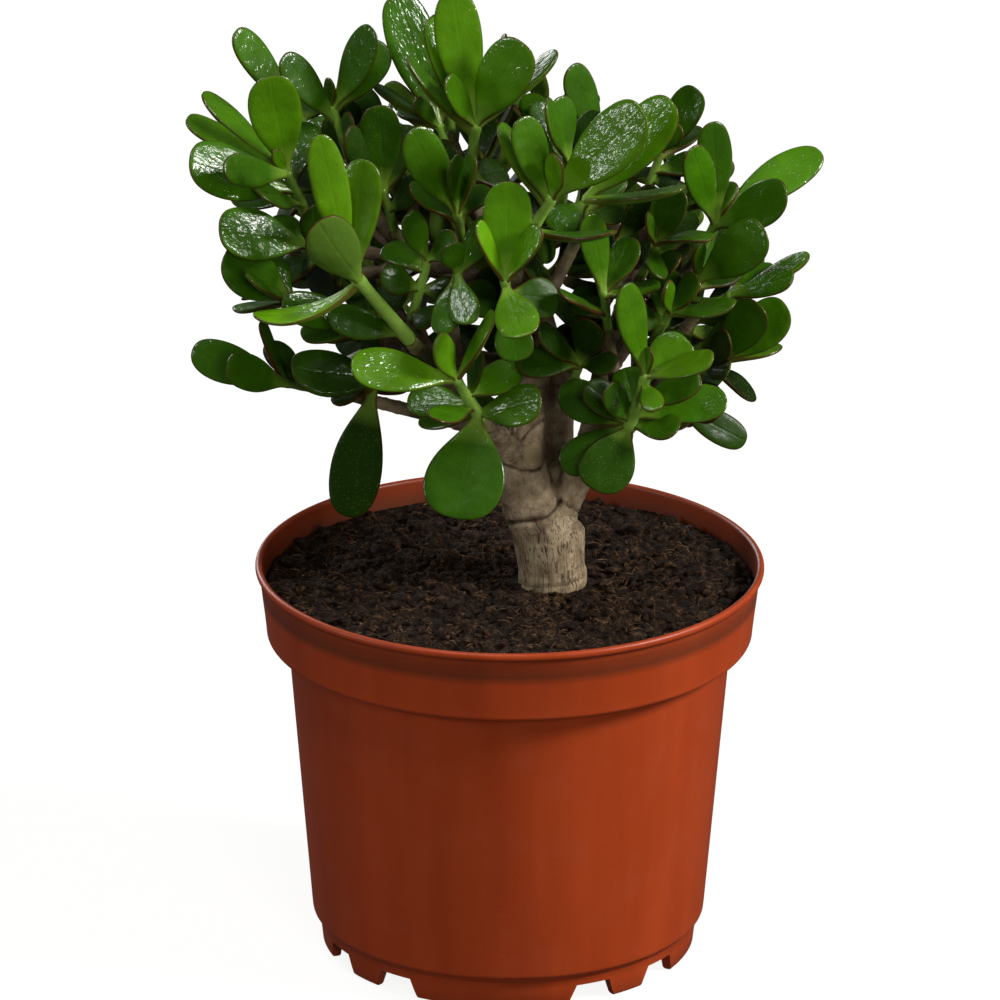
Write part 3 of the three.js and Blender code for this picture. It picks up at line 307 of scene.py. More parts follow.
# %% The table of shoots
FRONT_SHOOTS = {
    "left_crest": ((-67, 166, 0), (-74, 187, 2), 2.2, (
    (0.7, -95, 208, -6, 15, -30), (1, -57.5, 220, -6, 17, 35), (0.9, -53, 214, 12, 18, 20),
    (1, -75.7, 199, 2, 8, 60), (0.3, -66, 182, -12, 12, 50),
    (0.4, -67, 190, 12, 12, -10))),
    "left_far_top": ((-80, 168, 20), (-88, 185, 26), 2, (
    (1, -114.5, 218.5, 18, 15.5, -35), (0.8, -80, 191, 46, 17, 20), (0.6, -104, 172, 56, 18, -30),
    (0.9, -106, 182, 44, 15, -50))),
    "left_top": ((-85, 143, -18), (-93, 160, -24), 2.4, (
    (1, -100, 200, -30, 22, -10), (1, -127.5, 193.5, -2, 14, -56), (0.95, -134.8, 182.5, -20, 15, -50),
    (0.55, -133.5, 165, -42, 25, -25), (0.95, -119, 161, -60, 14, -10), (1, -98, 169, -32, 6, -20),
    (0.1, -106, 153, -42, 15, -58), (0.4, -116, 152, 4, 15, -20),
    (0.7, -85, 181, 2, 16, 10), (0.2, -96, 144, 8, 16, -30), (0.5, -79, 160, 6, 15, 20))),
    "left_shelf": ((-70, 120, -24), (-84, 130, -32), 2.4, (
    (0.95, -119.5, 141, -52, 23, -22, 18), (1, -96, 150, -12, 16, -40), (0.6, -82, 146, -48, 14, -20),
    (0.5, -98, 118, -6, 15, -30), (0.05, -82, 110, 2, 16, -10),
    (0.3, -102, 145, 6, 16, -30))),
    "left_low": ((-78, 103, -22), (-91, 107, -32), 2.2, (
    (1, -117.5, 126.5, -50, 22, -15), (0.9, -101, 126, -26, 14, -40), (1, -109, 117, -58, 11, -72),
    (0.95, -115, 103, -40, 12, -72))),
    "front_left": ((-41, 90, -44), (-66, 119, -62), 3.2, (
    (0.84, -80, 140, -84, 21.5, 180), (0.86, -107, 101, -68, 15, -64, 72), (1, -80, 176, -62, 16, -15),
    (0.95, -61, 166, -54, 19, 20), (0.1, -76, 101, -54, 14, -15))),
    "left_arm": ((-72, 69, -8), (-94, 73, -12), 2.2, (
    (1, -132, 86.5, -10, 17.5, -15), (0.9, -117.5, 79.5, -30, 16, -15), (0.65, -100, 90, 4, 12, -20),
    (0.95, -103, 99, -10, 9, -62))),
    "left_skirt": ((-46, 76, -14), (-57, 71, -20), 2.4, (
    (0.3, -91, 79, -34, 21, -25), (1, -67.5, 17, -30, 22, -10), (0.9, -74, 65, -26, 10, -55),
    (0.1, -47, 64, 2, 15, 0))),
    "left_inner": ((-50, 96, -26), (-58, 98, -36), 2, (
    (1, -87, 92.5, -42, 15, -45), (0.9, -95, 106, -52, 15, -10), (1, -66, 116, -6, 15, -20),
    (0.5, -42, 112, -24, 14, 20), (0.6, -74, 84, -4, 15, -30))),
    "left_middle": ((-48, 136, -8), (-53, 153, -14), 2.1, (
    (1, -55, 188, -22, 17, -10), (0.9, -42, 180, 4, 17, 30), (0.6, -68, 178, -28, 15, -40),
    (0.5, -38, 156, -22, 14, 40))),
    "left_stem": ((-41, 99, -26), (-34, 125, -32), 2.2, (
    (1, -43, 143, -40, 13, -30), (1, -22, 132, -40, 14, 25), (0.8, -52, 130, -18, 15, -40),
    (0.5, -54, 118, -36, 13, -20), (0.15, -34, 98, -48, 13, 10), (0.5, -20, 116, -14, 16, 20),
    (0.3, -35, 106, -2, 15, 0), (0.05, -34, 92, -10, 14, -10))),
    "left_droop": ((-24, 104, -34), (-22, 119, -42), 2, (
    (0.95, -18, 97, -60, 13, 0), (0.9, -29, 92, -54, 12, -10), (1, -13, 143, -44, 14, 20),
    (1, -32, 137, -46, 13, -20), (0.5, -12, 100, -20, 16, 10))),
    "centre_left": ((-12, 58, -42), (-22.5, 75, -58), 2.6, (
    (1, -66.5, 80, -72, 20, -28), (1, -31, 92, -66, 14, -45), (1, -11, 105, -58, 12, 65),
    (0.5, -13, 88, -54, 9, 45), (0.3, -33, 59, -72, 12, -45), (0.12, -22, 16.5, -70, 33, -5),
    (0.15, 13, 66, -60, 18, 20), (0.4, -43, 66, -44, 15, -25),
    (0.6, 4, 80, -40, 15, 20), (0.1, -38, 58, -30, 12, -40),
    (0.2, -9, 68, -24, 14, 10))),
    "upper_left": ((-19, 125, -22), (-22.5, 144, -34), 2.3, (
    (1, -41.5, 178, -42, 18, -15), (1, -23, 167, -46, 13, -58), (1, -16, 168, -34, 12, 60),
    (0.8, -50, 148, -32, 14, -55), (0.9, -8, 153, -28, 13, 45),
    (0.3, -20, 174, -2, 14, 0))),
    "top_centre": ((-17.5, 153, -6), (-15, 180, -12), 2.6, (
    (1, -25, 236, -8, 20, -15), (0.9, -33, 225, 6, 17, -30), (1, -27, 199, -24, 13, -45),
    (1, 5, 214, -22, 23, 18), (0.9, -3, 218, 16, 11, 75), (1, 19, 211, -2, 15, 60),
    (0.85, -44, 208, -18, 13, -66), (0.1, -2, 161, 8, 15, 20))),
    "top_left": ((-25, 165, 8), (-30, 180, 12), 2.2, (
    (1, -58, 194, 6, 13, -72), (1, -47, 233, 14, 22, -20), (0.9, -40, 190, 2, 8, -30),
    (0.9, -22, 212, 34, 16, 30), (0.9, -46, 186, 30, 11, -60))),
    "front_centre": ((-1, 101, -52), (-2.5, 116, -66), 2.4, (
    (1, -1, 157, -62, 20, 0), (1, -14, 140, -72, 11, -55), (1, 12, 138, -72, 12, 42),
    (0.85, 5, 92, -92, 18, 0), (0.6, 20, 107, -54, 17, 10), (0.15, 3, 82, -66, 16, 0))),
    "centre_high": ((4, 129, -48), (17, 150, -58), 2.7, (
    (1, 54.5, 187, -72, 25, 22), (1, 18.5, 167, -68, 12, 48), (0.9, -9, 173, -66, 17, -32),
    (0.8, -5, 181, -48, 13, -50), (0.35, 43, 136, -76, 13, 76, 32),
    (0.05, 16, 126, -22, 15, 10))),
    "right_high": ((28, 136, -34), (31, 150, -42), 2.3, (
    (1, 67, 190, -52, 22, 22), (1, 72, 154.5, -62, 14, 76, 24), (0.85, 16, 138, -52, 15, -20),
    (0.5, 46, 160, -28, 15, 40), (0.4, 46, 146, -10, 14, 20))),
    "mid_high": ((21, 148, -18), (23.5, 165, -26), 2.1, (
    (1, 14.5, 190, -38, 13, -60), (1, 20, 192, -24, 14, -40), (0.7, 10, 190, -10, 14, -35),
    (0.8, 36, 186, -16, 15, 40), (0.9, 6, 193, 0, 14, -20))),
    "high_right": ((40, 152, 4), (37, 172, 6), 2.1, (
    (1, 24.5, 205, 2, 16, -35), (0.9, 46, 186, 22, 17, 30), (0.7, 58, 178, -10, 17, 30),
    (0.6, 28, 186, 20, 14, -40))),
    "upper_right": ((56, 152, 6), (62, 170, 8), 2.1, (
    (1, 77, 195, 4, 17, 30), (1, 70, 179, -4, 9, 30), (0.9, 54, 184, 18, 16, -30),
    (0.8, 76, 180, 30, 15, 50), (0.5, 82, 166, 8, 15, 45),
    (0.15, 54, 162, 22, 16, -20), (0.3, 70, 158, 4, 14, 30))),
    "middle_right": ((40, 96, -40), (38, 111, -50), 2, (
    (1, 33, 142, -56, 14, -30), (0.9, 62, 114.5, -46, 12, 60), (0.4, 20, 111, -62, 10, -72),
    (0.9, 50, 134, -36, 15, 35), (0.3, 26, 112, -22, 16, 0))),
    "right_inner": ((54, 118, -22), (60, 131, -30), 2.1, (
    (1, 83.5, 133, -46, 14, 74, -24), (1, 70, 154, -34, 15, 35), (0.95, 62, 152, -24, 13, 58),
    (1, 56, 143, -40, 8, -60), (0.9, 57, 114, -50, 10, 30), (0.5, 67, 120, -46, 12, 20),
    (0.3, 80, 140, -6, 14, 30))),
    "right_mid": ((58, 90, -34), (66, 103, -46), 2.2, (
    (1, 92.5, 106, -64, 14, 60), (1, 77, 118, -46, 13, 48), (1, 60, 115, -56, 10, -58),
    (0.7, 46, 103, -54, 13, -20), (0.6, 64, 117, -20, 14, 0))),
    "right_out": ((69, 106, -20), (77.5, 116, -30), 2.3, (
    (1, 105, 137, -50, 21, 20), (1, 73.5, 134, -38, 10, -60), (0.6, 88, 120, -2, 14, 30))),
    "right_crown": ((77, 126, -10), (85, 141, -14), 2.3, (
    (1, 83, 182, -16, 15, -15), (0.9, 74, 171, -30, 15, -25), (1, 91.5, 157, -6, 10, 45),
    (1, 128.9, 170, 14, 18, 22), (0.8, 114, 153, -32, 19, 20))),
    "right_tip": ((80, 104, -12), (91, 110, -18), 2.2, (
    (0.9, 102, 127, 6, 12, 42), (1, 108, 124, -4, 12, 35), (1, 122.5, 129, -14, 13, 58),
    (1, 117, 118, -34, 14, 42), (0.7, 68.5, 118, -46, 14, -68))),
    "right_low": ((76, 78, -16), (87, 83, -22), 2.2, (
    (1, 95, 109, -40, 18, 15), (1, 114, 106, -24, 20, 20), (0.95, 112, 89.5, -12, 13, 66),
    (0.4, 90, 79, -42, 10, 20), (0.6, 101.5, 68, -6, 12, 55), (0.3, 90, 93, -42, 12, 30),
    (0.1, 85, 72, 8, 15, 0))),
    "front_right": ((48.5, 53, -46), (56, 77, -60), 2.6, (
    (1, 43, 115, -66, 15, -32), (1, 57.5, 88, -64, 7, 60), (0.85, 60, 62, -74, 10, 10),
    (1, 84, 84, -76, 14, 45), (0.9, 73, 92, -54, 18, 10), (0.5, 79, 76, -56, 14, 30),
    (0.4, 47, 80, -40, 15, 10), (0.3, 89, 70, -44, 17, 22),
    (0.1, 70, 55, -60, 14, 40), (0.2, 40, 72, -62, 13, -28),
    (0.15, 31, 73, -50, 15, -25), (0.1, 23, 75, -36, 18, -20), (0.05, 34, 29, -62, 22, 0),
    (0.08, 20, 40, -48, 16, -10))),
    "right_skirt": ((60, 64, -20), (68, 66, -28), 2.2, (
    (1, 97.5, 49, -22, 14, 15), (0.9, 87, 64, -46, 14, 25), (0.7, 86, 80, -2, 15, 30),
    (0.5, 72, 55, -36, 11, 20), (0.3, 86, 72, 6, 16, 10))),
    "middle": ((24, 70, -26), (29, 82, -36), 2.1, (
    (1, 53, 78, -46, 13, 30), (0.9, 2, 80, -48, 15, -28), (1, 11, 96, -50, 13, -42),
    (1, 36, 104, -40, 15, 20), (0.5, 31, 78, -4, 15, 0), (0.7, 21, 97, -12, 16, 0))),
}
INNER_TIPS = [
    (20, 122, -14), (45, 130, -6), (-64, 92, 14), (-10, 164, 16), (-36, 138, 16),
    (-86, 124, 14), (4, 96, -18), (78, 100, 12), (56, 88, -4),
]
OUTLINE = [
    (-96, 70), (-100, 88), (-98, 100), (-110, 104), (-116, 122), (-116, 142), (-104, 150), (-118, 162),
    (-110, 176), (-100, 192), (-88, 188), (-78, 184), (-66, 196), (-54, 206), (-46, 226), (-20, 230),
    (-8, 210), (8, 208), (14, 194), (32, 198), (38, 186), (62, 190), (76, 190), (80, 174), (88, 176),
    (92, 156), (104, 156), (120, 164), (110, 146), (104, 134), (102, 124), (110, 112), (112, 98),
    (100, 86), (92, 72), (84, 60), (60, 56), (48, 44), (20, 52), (-8, 58), (-40, 60), (-66, 66),
]
print("front shoots:", len(FRONT_SHOOTS), "inner:", len(INNER_TIPS))

# %% [markdown]
# ## How leaves sit on their shoots
# Leaves of a jade plant never grow through each other: they press aside and bend. The layout gives
# each leaf a row of beads that fill its blade. A leaf that would touch what stands already is leaned
# and swung by small steps until it is clear, and a leaf behind the crown that finds no room is left off.

# %% The blade's shape and its bend
LEAF_BEND, WIDEST_AT, ROOT_HALF_WIDTH = 14, 0.62, 2.1
BEAD_SPACING, BEAD_RADIUS, FREE_ROOT, BEAD_ROOM = 2.6, 2, 6.5, 0.5


def blade_shape(s):
    """Half width at s, from 0 at the root to 1 at the tip, as a share of the widest."""
    s = np.asarray(s, float)
    past = np.clip((s - WIDEST_AT) / (1 - WIDEST_AT), 0, 1)
    rising = np.sin(0.5 * pi * np.minimum(s, WIDEST_AT) / WIDEST_AT) ** 1.25
    return np.where(s <= WIDEST_AT, rising, np.sqrt(1 - past ** 3))


def half_width(leaf, s):
    root = ROOT_HALF_WIDTH * min(1, leaf["width"] / 12) * (1 - np.asarray(s, float))
    return np.maximum(root, leaf["width"] / 2 * blade_shape(s))


def leaf_frame(leaf, s):
    """Places, ways up and ways across at each s along a leaf, whose rib is an arc."""
    s = np.asarray(s, float)[:, None]
    half = radians(leaf["bend"]) / 2
    turn = -half + 2 * half * s
    chord = (np.sin(turn) + sin(half)) / (2 * sin(half))
    sag = (cos(half) - np.cos(turn)) / (2 * sin(half))
    reach, face, length = leaf["reach"], leaf["face"], leaf["length"]
    at = leaf["root"] + reach * chord * length + face * sag * length
    along = reach * np.cos(turn) + face * np.sin(turn)
    up = face * np.cos(turn) - reach * np.sin(turn)
    return at, up, np.cross(along, up)


print("half width at the root, the widest and near the tip:", blade_shape([0, WIDEST_AT, 0.95]).round(2))

# %% [markdown]
# ## Beads
# Whether two leaves touch is hard to tell from their faces and easy to tell between balls. So a leaf is
# a few rows of beads that fill its blade, a limb is one row of fat beads, and two things are clear of
# each other when none of their beads meet.

# %% Beads that stand for leaves and wood
def beads(places, radii, owner, wood, along):
    return {"at": np.array(places, float).reshape(-1, 3), "radius": np.array(radii, float),
            "owner": np.full(len(radii), owner), "wood": np.full(len(radii), wood),
            "along": np.array(along, float)}


def joined(groups):
    return {key: np.concatenate([g[key] for g in groups]) for key in groups[0]}


def chosen(group, mask):
    return {key: values[mask] for key, values in group.items()}


def leaf_beads(leaf, owner):
    steps = max(3, int(leaf["length"] / BEAD_SPACING + 0.5))
    radius = BEAD_RADIUS * min(1, leaf["width"] / 10)
    s = np.arange(1, steps + 1) / steps
    at, _, across = leaf_frame(leaf, s)
    half = np.maximum(0, half_width(leaf, s) - 1)
    places, along = [], []
    for i in range(steps):
        rows = max(1, int(2 * half[i] / BEAD_SPACING + 0.5))
        offsets = half[i] * (2 * np.arange(rows + 1) / rows - 1)
        places.extend(at[i] + across[i] * off for off in offsets)
        along.extend([s[i] * leaf["length"]] * (rows + 1))
    return beads(places, [radius] * len(along), owner, False, along)


def limb_beads(points, radii, owner, wood):
    places, sizes = [], []
    for a, b, ra, rb in zip(points, points[1:], radii, radii[1:]):
        steps = max(1, int(np.ceil(sqrt((b - a).dot(b - a)) / 3)))
        for k in range(steps + 1):
            places.append(a + (b - a) * (k / steps))
            sizes.append(ra + (rb - ra) * (k / steps) + BEAD_ROOM)
    return beads(places, sizes, owner, wood, [np.inf] * len(sizes))


def clearance(own, others):
    """The least room between beads of different owners. A leaf's root may touch the wood."""
    others = chosen(others, others["owner"] != own["owner"][0])
    if not len(others["radius"]):
        return np.inf
    apart = np.sqrt(np.maximum(0, (own["at"] ** 2).sum(1)[:, None] + (others["at"] ** 2).sum(1)[None]
                               - 2 * own["at"] @ others["at"].T))
    room = apart - own["radius"][:, None] - others["radius"][None]
    room[np.ix_(own["along"] < FREE_ROOT, others["wood"])] = np.inf
    return room.min()


print("beads of a leaf are", BEAD_SPACING, "mm apart and", BEAD_RADIUS, "mm in radius")

# %% [markdown]
# ## Twigs and shoots
# A shoot is a green stem on a brown twig, and its twig starts at the nearest joint of the wood. A shoot
# that shows is read from the table. One that doesn't follows the rule of the plant: leaves in pairs,
# each pair crossed with the one below, and shorter towards the tip.

# %% Twigs and shoots
def twig_path(shoot):
    """A twig leaves its joint outwards and comes in along the shoot's own line."""
    start, radius, _ = JOINTS[shoot["joint"]]
    span = np.linalg.norm(start - shoot["from"])
    line = unit(shoot["to"] - shoot["from"])
    end = shoot["from"] - line * 0.3
    turn_in = end - line * 0.4 * span
    points = [(1 - t) ** 2 * start + 2 * (1 - t) * t * turn_in + t * t * end for t in (0, 1 / 3, 2 / 3, 1)]
    points[2] = end - line * 4
    first = min(radius * 0.8, shoot["radius"] * 1.5)
    return points, [first + (shoot["radius"] - first) * i / 3 for i in range(4)]


def nearest_joint(point):
    best = None
    for name, (at, radius, _) in JOINTS.items():
        low = max(0, at[2] - point[2] + 6) * 3
        distance = np.linalg.norm(at - point) + low + (60 if radius > 6.5 else 0)
        if best is None or distance < best[0]:
            best = (distance, name)
    return best[1]


def front_shoot(name, row):
    root, tip, radius, leaves = row
    root = seen(root)
    leaves = [{"along": along, "tip": seen((across, rise, back)), "width": width, "turn": face,
               "bend": bend[0] if bend else LEAF_BEND}
              for along, across, rise, back, width, face, *bend in leaves]
    return {"name": name, "joint": nearest_joint(root), "from": root, "to": seen(tip),
            "radius": radius, "leaves": leaves}


STEM, RULE_RADIUS, PAIRS, RULE_LENGTH, RULE_WIDTH, SPREAD = 26, 2.2, 3, 41, 19, 52


def paired_shoot(name, tip, line, draw):
    """A shoot with crossed pairs of leaves that shorten towards its tip."""
    root = tip - line * STEM
    side = square_to(np.array([next(draw) - 0.5, next(draw) - 0.5, 0.1]), line)
    other = np.cross(line, side)
    leaves = []
    for pair in range(PAIRS):
        size = (1 - 0.16 * pair) * (0.92 + 0.16 * next(draw))
        opening = radians(SPREAD + 14 - 16 * pair)
        for sign in (1, -1):
            way = (other if pair % 2 else side) * sign * sin(opening) + line * cos(opening)
            leaves.append({"along": 0.3 + 0.7 * pair / (PAIRS - 1), "way": way, "bend": LEAF_BEND,
                           "length": RULE_LENGTH * size, "width": RULE_WIDTH * size})
    return {"name": name, "joint": nearest_joint(root), "from": root, "to": tip,
            "radius": RULE_RADIUS, "leaves": leaves}


print("the left crest hangs on joint", nearest_joint(seen(FRONT_SHOOTS["left_crest"][0])))

# %% The crown's inside and its far side
DOME_CENTRE, DOME_REACH, DOME_COUNT = np.array([-1, 6, 287.0]), np.array([84, 76, 86.0]), 15


def inner_shoot(index, draw):
    tip = seen(INNER_TIPS[index])
    line = unit((tip - DOME_CENTRE) * np.array([1, 1, 0.6]))
    line = unit(line + np.array([0, -0.25, 0.7]))
    return paired_shoot(f"inner_{index + 1}", tip, line, draw)


def dome_shoot(index, draw):
    """The shoots of the far side spread over a dome by the golden angle."""
    lift = asin(-0.32 + 1.24 * (index + 0.5) / DOME_COUNT)
    azimuth = radians(index * 137.5 % 180) + (next(draw) - 0.5) * 0.3
    out = np.array([cos(lift) * cos(azimuth), cos(lift) * sin(azimuth), sin(lift)])
    return paired_shoot(f"far_{index + 1}", DOME_CENTRE + out * DOME_REACH,
                        unit(out + np.array([0, 0, 0.75])), draw)


def inside_outline(point):
    across, rise = (v[0] for v in seen_from(point[None]))
    inside = False
    for (ax, ay), (bx, by) in zip(OUTLINE, OUTLINE[1:] + OUTLINE[:1]):
        if (ay > rise) != (by > rise) and across < ax + (rise - ay) / (by - ay) * (bx - ax):
            inside = not inside
    return inside


print("shoots by the rule:", len(INNER_TIPS) + DOME_COUNT)

# %% [markdown]
# ## Setting the leaves
# A leaf is first set as it was measured or as the rule wants it. If it isn't clear, other poses are
# tried from small to large: leaned, swung and at last made shorter. Shoots of the rule are moved a
# little until their stems stand clear, and their leaves stay inside the outline of the front view.

# %% Setting one leaf
SHIFTS = (0, 6, -6, 12, -12, 18, -18)
OFFSETS = sorted(((lean, swing) for lean in SHIFTS for swing in SHIFTS),
                 key=lambda o: o[0] ** 2 + o[1] ** 2)
LEAF_SCALES = (1, 0.88, 0.76)


def pose_leaf(shoot, leaf, lean, swing, scale):
    """Sets a leaf on its stem, leaned and swung by some degrees from where it wants to be."""
    stem = shoot["to"] - shoot["from"]
    length = np.linalg.norm(stem)
    line = unit(stem)
    root = shoot["from"] + line * min(max(leaf["along"] * length, shoot["radius"] + 2.4), length - 0.8)
    wanted = leaf["tip"] - root if "tip" in leaf else leaf["way"] * leaf["length"]
    size, reach = np.linalg.norm(wanted) * scale, unit(wanted)
    hinge = unit(np.cross(square_to(line, reach), reach))
    reach = turned(turned(reach, line, swing), hinge, lean)
    if "tip" in leaf:
        face = turned(square_to(TO_FRONT, reach), reach, -leaf["turn"])
    else:
        face = square_to(line, reach)
    return {"root": root, "reach": reach, "face": face, "length": size,
            "width": leaf["width"] * sqrt(scale), "bend": leaf["bend"]}


def settle_leaf(shoot, leaf, standing):
    """The first pose that holds a leaf clear of what stands already, or else the clearest one."""
    best = None
    first = pose_leaf(shoot, leaf, 0, 0, 1)
    around = np.linalg.norm(standing["at"] - first["root"], axis=1) < first["length"] + 12
    near = chosen(standing, around)
    for scale in LEAF_SCALES:
        for lean, swing in OFFSETS:
            pose = pose_leaf(shoot, leaf, lean, swing, scale)
            if "way" in leaf and not inside_outline(leaf_frame(pose, [1])[0][0]):
                continue
            room = clearance(leaf_beads(pose, shoot["name"]), near)
            if best is None or room > best[0]:
                best = (room, pose)
            if room > 0:
                return best
    return best


print("poses tried for a leaf, at most:", len(OFFSETS) * len(LEAF_SCALES))

# %% Keeping a shoot clear, and the whole layout
LAYOUT_SEED, MOST_MOVES, ENOUGH_ROOM = 4721, 80, 0.8


def stem_beads(shoot):
    radius = shoot["radius"]
    return limb_beads([shoot["from"], shoot["to"]], [radius, radius * 0.8], shoot["name"], False)


def stand_clear(shoot, standing, draw):
    """Moves a shoot of the rule by small draws until its stem and its twig stand clear."""
    best = None
    for attempt in range(MOST_MOVES):
        shift = np.array([next(draw) - 0.5, next(draw) - 0.5, next(draw) - 0.5]) * (attempt * 0.5)
        moved = dict(shoot, **{"from": shoot["from"] + shift, "to": shoot["to"] + shift})
        moved["joint"] = nearest_joint(moved["from"])
        own = stem_beads(moved)
        stem_room = clearance(chosen(own, slice(2, None)), standing)
        twig_room = clearance(limb_beads(*twig_path(moved), "wood", True),
                              chosen(standing, ~standing["wood"]))
        room = min(stem_room, twig_room)
        if best is None or room > best[0]:
            best = (room, moved)
        if room > ENOUGH_ROOM:
            break
    return best[1]


def lay_out():
    draw = seeded(LAYOUT_SEED)
    standing = [limb_beads([JOINTS[parent][0], at], [JOINTS[parent][1], radius], "wood", True)
                for at, radius, parent in JOINTS.values() if parent]
    shoots = [front_shoot(name, row) for name, row in FRONT_SHOOTS.items()]
    for shoot in shoots:
        standing += [limb_beads(*twig_path(shoot), "wood", True), stem_beads(shoot)]
    ruled = [inner_shoot(i, draw) for i in range(len(INNER_TIPS))]
    ruled += [dome_shoot(i, draw) for i in range(DOME_COUNT)]
    for shoot in ruled:
        moved = stand_clear(shoot, joined(standing), draw)
        standing += [limb_beads(*twig_path(moved), "wood", True), stem_beads(moved)]
        shoots.append(moved)
    for shoot in shoots:
        shoot["set"] = []
        for leaf in shoot["leaves"]:
            settled = settle_leaf(shoot, leaf, joined(standing))
            if settled is None or (settled[0] <= 0 and "way" in leaf):
                continue
            shoot["set"].append(settled[1])
            standing.append(leaf_beads(settled[1], shoot["name"]))
    return shoots


shoots = lay_out()
print("shoots:", len(shoots), "leaves:", sum(len(s["set"]) for s in shoots))

# %% [markdown]
# ## One leaf, modelled ring by ring
# A jade leaf is a thick spoon: a narrow root that clasps the stem, a blade that is widest past its
# middle, a blunt tip and a rounded edge about as thick as a pencil line. It could be a bent sheet with
# thickness, but the edge would come out sharp. So a ring of eight points is drawn out along the blade,
# and a subdivision surface rounds it. One leaf is modelled and every other is a copy of its mesh.

# %% Draw out the leaf
RING_POINTS = 8
MODEL_LENGTH, MODEL_WIDTH = 40, 18
STATIONS = (0.0, 0.1, 0.24, 0.42, 0.6, 0.76, 0.89, 0.965)
MODEL_LEAF = {"width": MODEL_WIDTH}
ROUNDING = 1.06  # the subdivision surface draws the ring in by this much


def leaf_thickness(s):
    """Half thickness in millimetres: plump at the root and middle, thinner towards the tip."""
    return np.interp(s, (0, 0.12, 0.5, 0.85, 0.965, 1), (1.7, 1.65, 1.95, 1.5, 0.95, 0.3))


def leaf_ring(s):
    return float(half_width(MODEL_LEAF, s)) * ROUNDING, float(leaf_thickness(s)) * ROUNDING


def model_leaf():
    """Draws out the leaf along Y, with its upper face to +Z."""
    bpy.ops.mesh.primitive_circle_add(vertices=RING_POINTS, radius=1, rotation=(pi / 2, 0, 0))
    leaf = named("leaf_model")
    bpy.ops.object.transform_apply(rotation=True, location=False, scale=False)
    edit(leaf, "SELECT")
    wide, thick = leaf_ring(0)
    bpy.ops.transform.resize(value=(wide, 1, thick), center_override=(0, 0, 0))
    for before, s in zip(STATIONS, STATIONS[1:]):
        old, new = leaf_ring(before), leaf_ring(s)
        draw_out((0, (s - before) * MODEL_LENGTH, 0), (new[0] / old[0], 1, new[1] / old[1]),
                 (0, s * MODEL_LENGTH, 0))
    tip = (0, (1 - STATIONS[-1]) * MODEL_LENGTH, 0)
    bpy.ops.mesh.extrude_region_move(TRANSFORM_OT_translate={"value": tip})
    bpy.ops.mesh.merge(type="CENTER")
    leave_edit()
    return leaf


leaf_model = model_leaf()
print("leaf model:", len(leaf_model.data.polygons), "faces")

# %% [markdown]
# ## Fuller edges and a shallow spoon
# The drawn ring is an ellipse, which leaves the edge too thin. Its four slanting points move outwards,
# and the middle of the upper face sinks a little, so light gathers along the blade as on the real leaf.

# %% Shape the ring and read the leaf off
EDGE_OUT, EDGE_UP, SPOON, BELLY = 1.21, 1.08, 0.86, 1.12


def fill_out(leaf):
    """Moves the slanting points of each ring outwards and presses in the upper middle."""
    places = points_of(leaf.data)
    for i, (x, y, z) in enumerate(places):
        wide, thick = leaf_ring(y / MODEL_LENGTH)
        if abs(x) > 0.3 * wide and abs(z) > 0.3 * thick:
            places[i] = (x * EDGE_OUT, y, z * EDGE_UP)
        elif z > 0.3 * thick:
            places[i] = (x, y, z * SPOON)
        elif z < -0.3 * thick:
            places[i] = (x, y, z * BELLY)
    move_points(leaf.data, places)
    edit(leaf, "SELECT")
    bpy.ops.mesh.normals_make_consistent(inside=False)
    leave_edit()


fill_out(leaf_model)
LEAF_POINTS, LEAF_FACES = read_off(leaf_model)
LEAF_S = LEAF_POINTS[:, 1] / MODEL_LENGTH
print("leaf points:", len(LEAF_POINTS))

# %% [markdown]
# ## Copying the leaf
# A copy is stretched to its own length and width, bent along its rib, and set in its pose. Young and
# old leaves differ, so each copy carries numbers for its finish: how far a point is from the leaf's
# edge, which side it lies on, how fresh the leaf is, and a random tone. Slow waves keep copies unlike.

# %% A bent copy of the leaf
# every leaf is kept inside the box of the solids
BOX_LOW, BOX_HIGH = (np.array(corner) / MM for corner in cad_box)
WAVE, CUP, SKEW = 0.35, 0.15, 0.03


def copy_leaf(pose, chance):
    """Points of one leaf in its pose, with the numbers that its finish reads."""
    s = np.clip(LEAF_S, 0, 1)
    at, up, across = leaf_frame(pose, s)
    model_half = half_width(MODEL_LEAF, s)
    share = LEAF_POINTS[:, 0] / np.where(model_half > 0.01, model_half, 1)
    half = half_width(pose, s)
    slim = min(1.0, pose["width"] / 10)
    height = LEAF_POINTS[:, 2] * slim * min(1.15, max(0.85, pose["length"] / 42))
    phase, sway = 2 * pi * chance.random(2)
    wave = WAVE * slim * np.sin(2 * pi * s * 1.4 + phase) * share
    cup = CUP * half * np.abs(share) ** 2 * np.sin(pi * np.minimum(1, s * 1.1))
    skew = SKEW * pose["width"] * np.sin(pi * s + sway) * np.sin(pi * s)
    places = at + across * (share * half + skew)[:, None] + up * (height + cup + wave)[:, None]
    places -= np.maximum(0, places.max(0) - BOX_HIGH) - np.maximum(0, BOX_LOW - places.min(0))
    edge = np.maximum(0, half * (ROUNDING - np.abs(share)))
    edge = np.minimum(edge, (1 - s) * pose["length"] + 0.6 * np.abs(height) * (s > 0.9))
    side = np.sign(LEAF_POINTS[:, 2]) * (np.abs(LEAF_POINTS[:, 2]) > 0.2)
    return places, {"edge": edge, "side": side, "along": s, "across": share * half,
                    "reach": s * pose["length"]}


print("leaves stay between", BOX_LOW.round(1), "and", BOX_HIGH.round(1))

# %% [markdown]
# ## The green stem of a shoot
# Young stems are fleshy and green, with a swollen node and a fine ring wherever a pair of leaves sits.
# A stem is drawn out as a ring of points too, once, and each copy swells at its own shoot's nodes.

# %% Draw out the stem
STEM_SIDES, STEM_RINGS = 8, 15


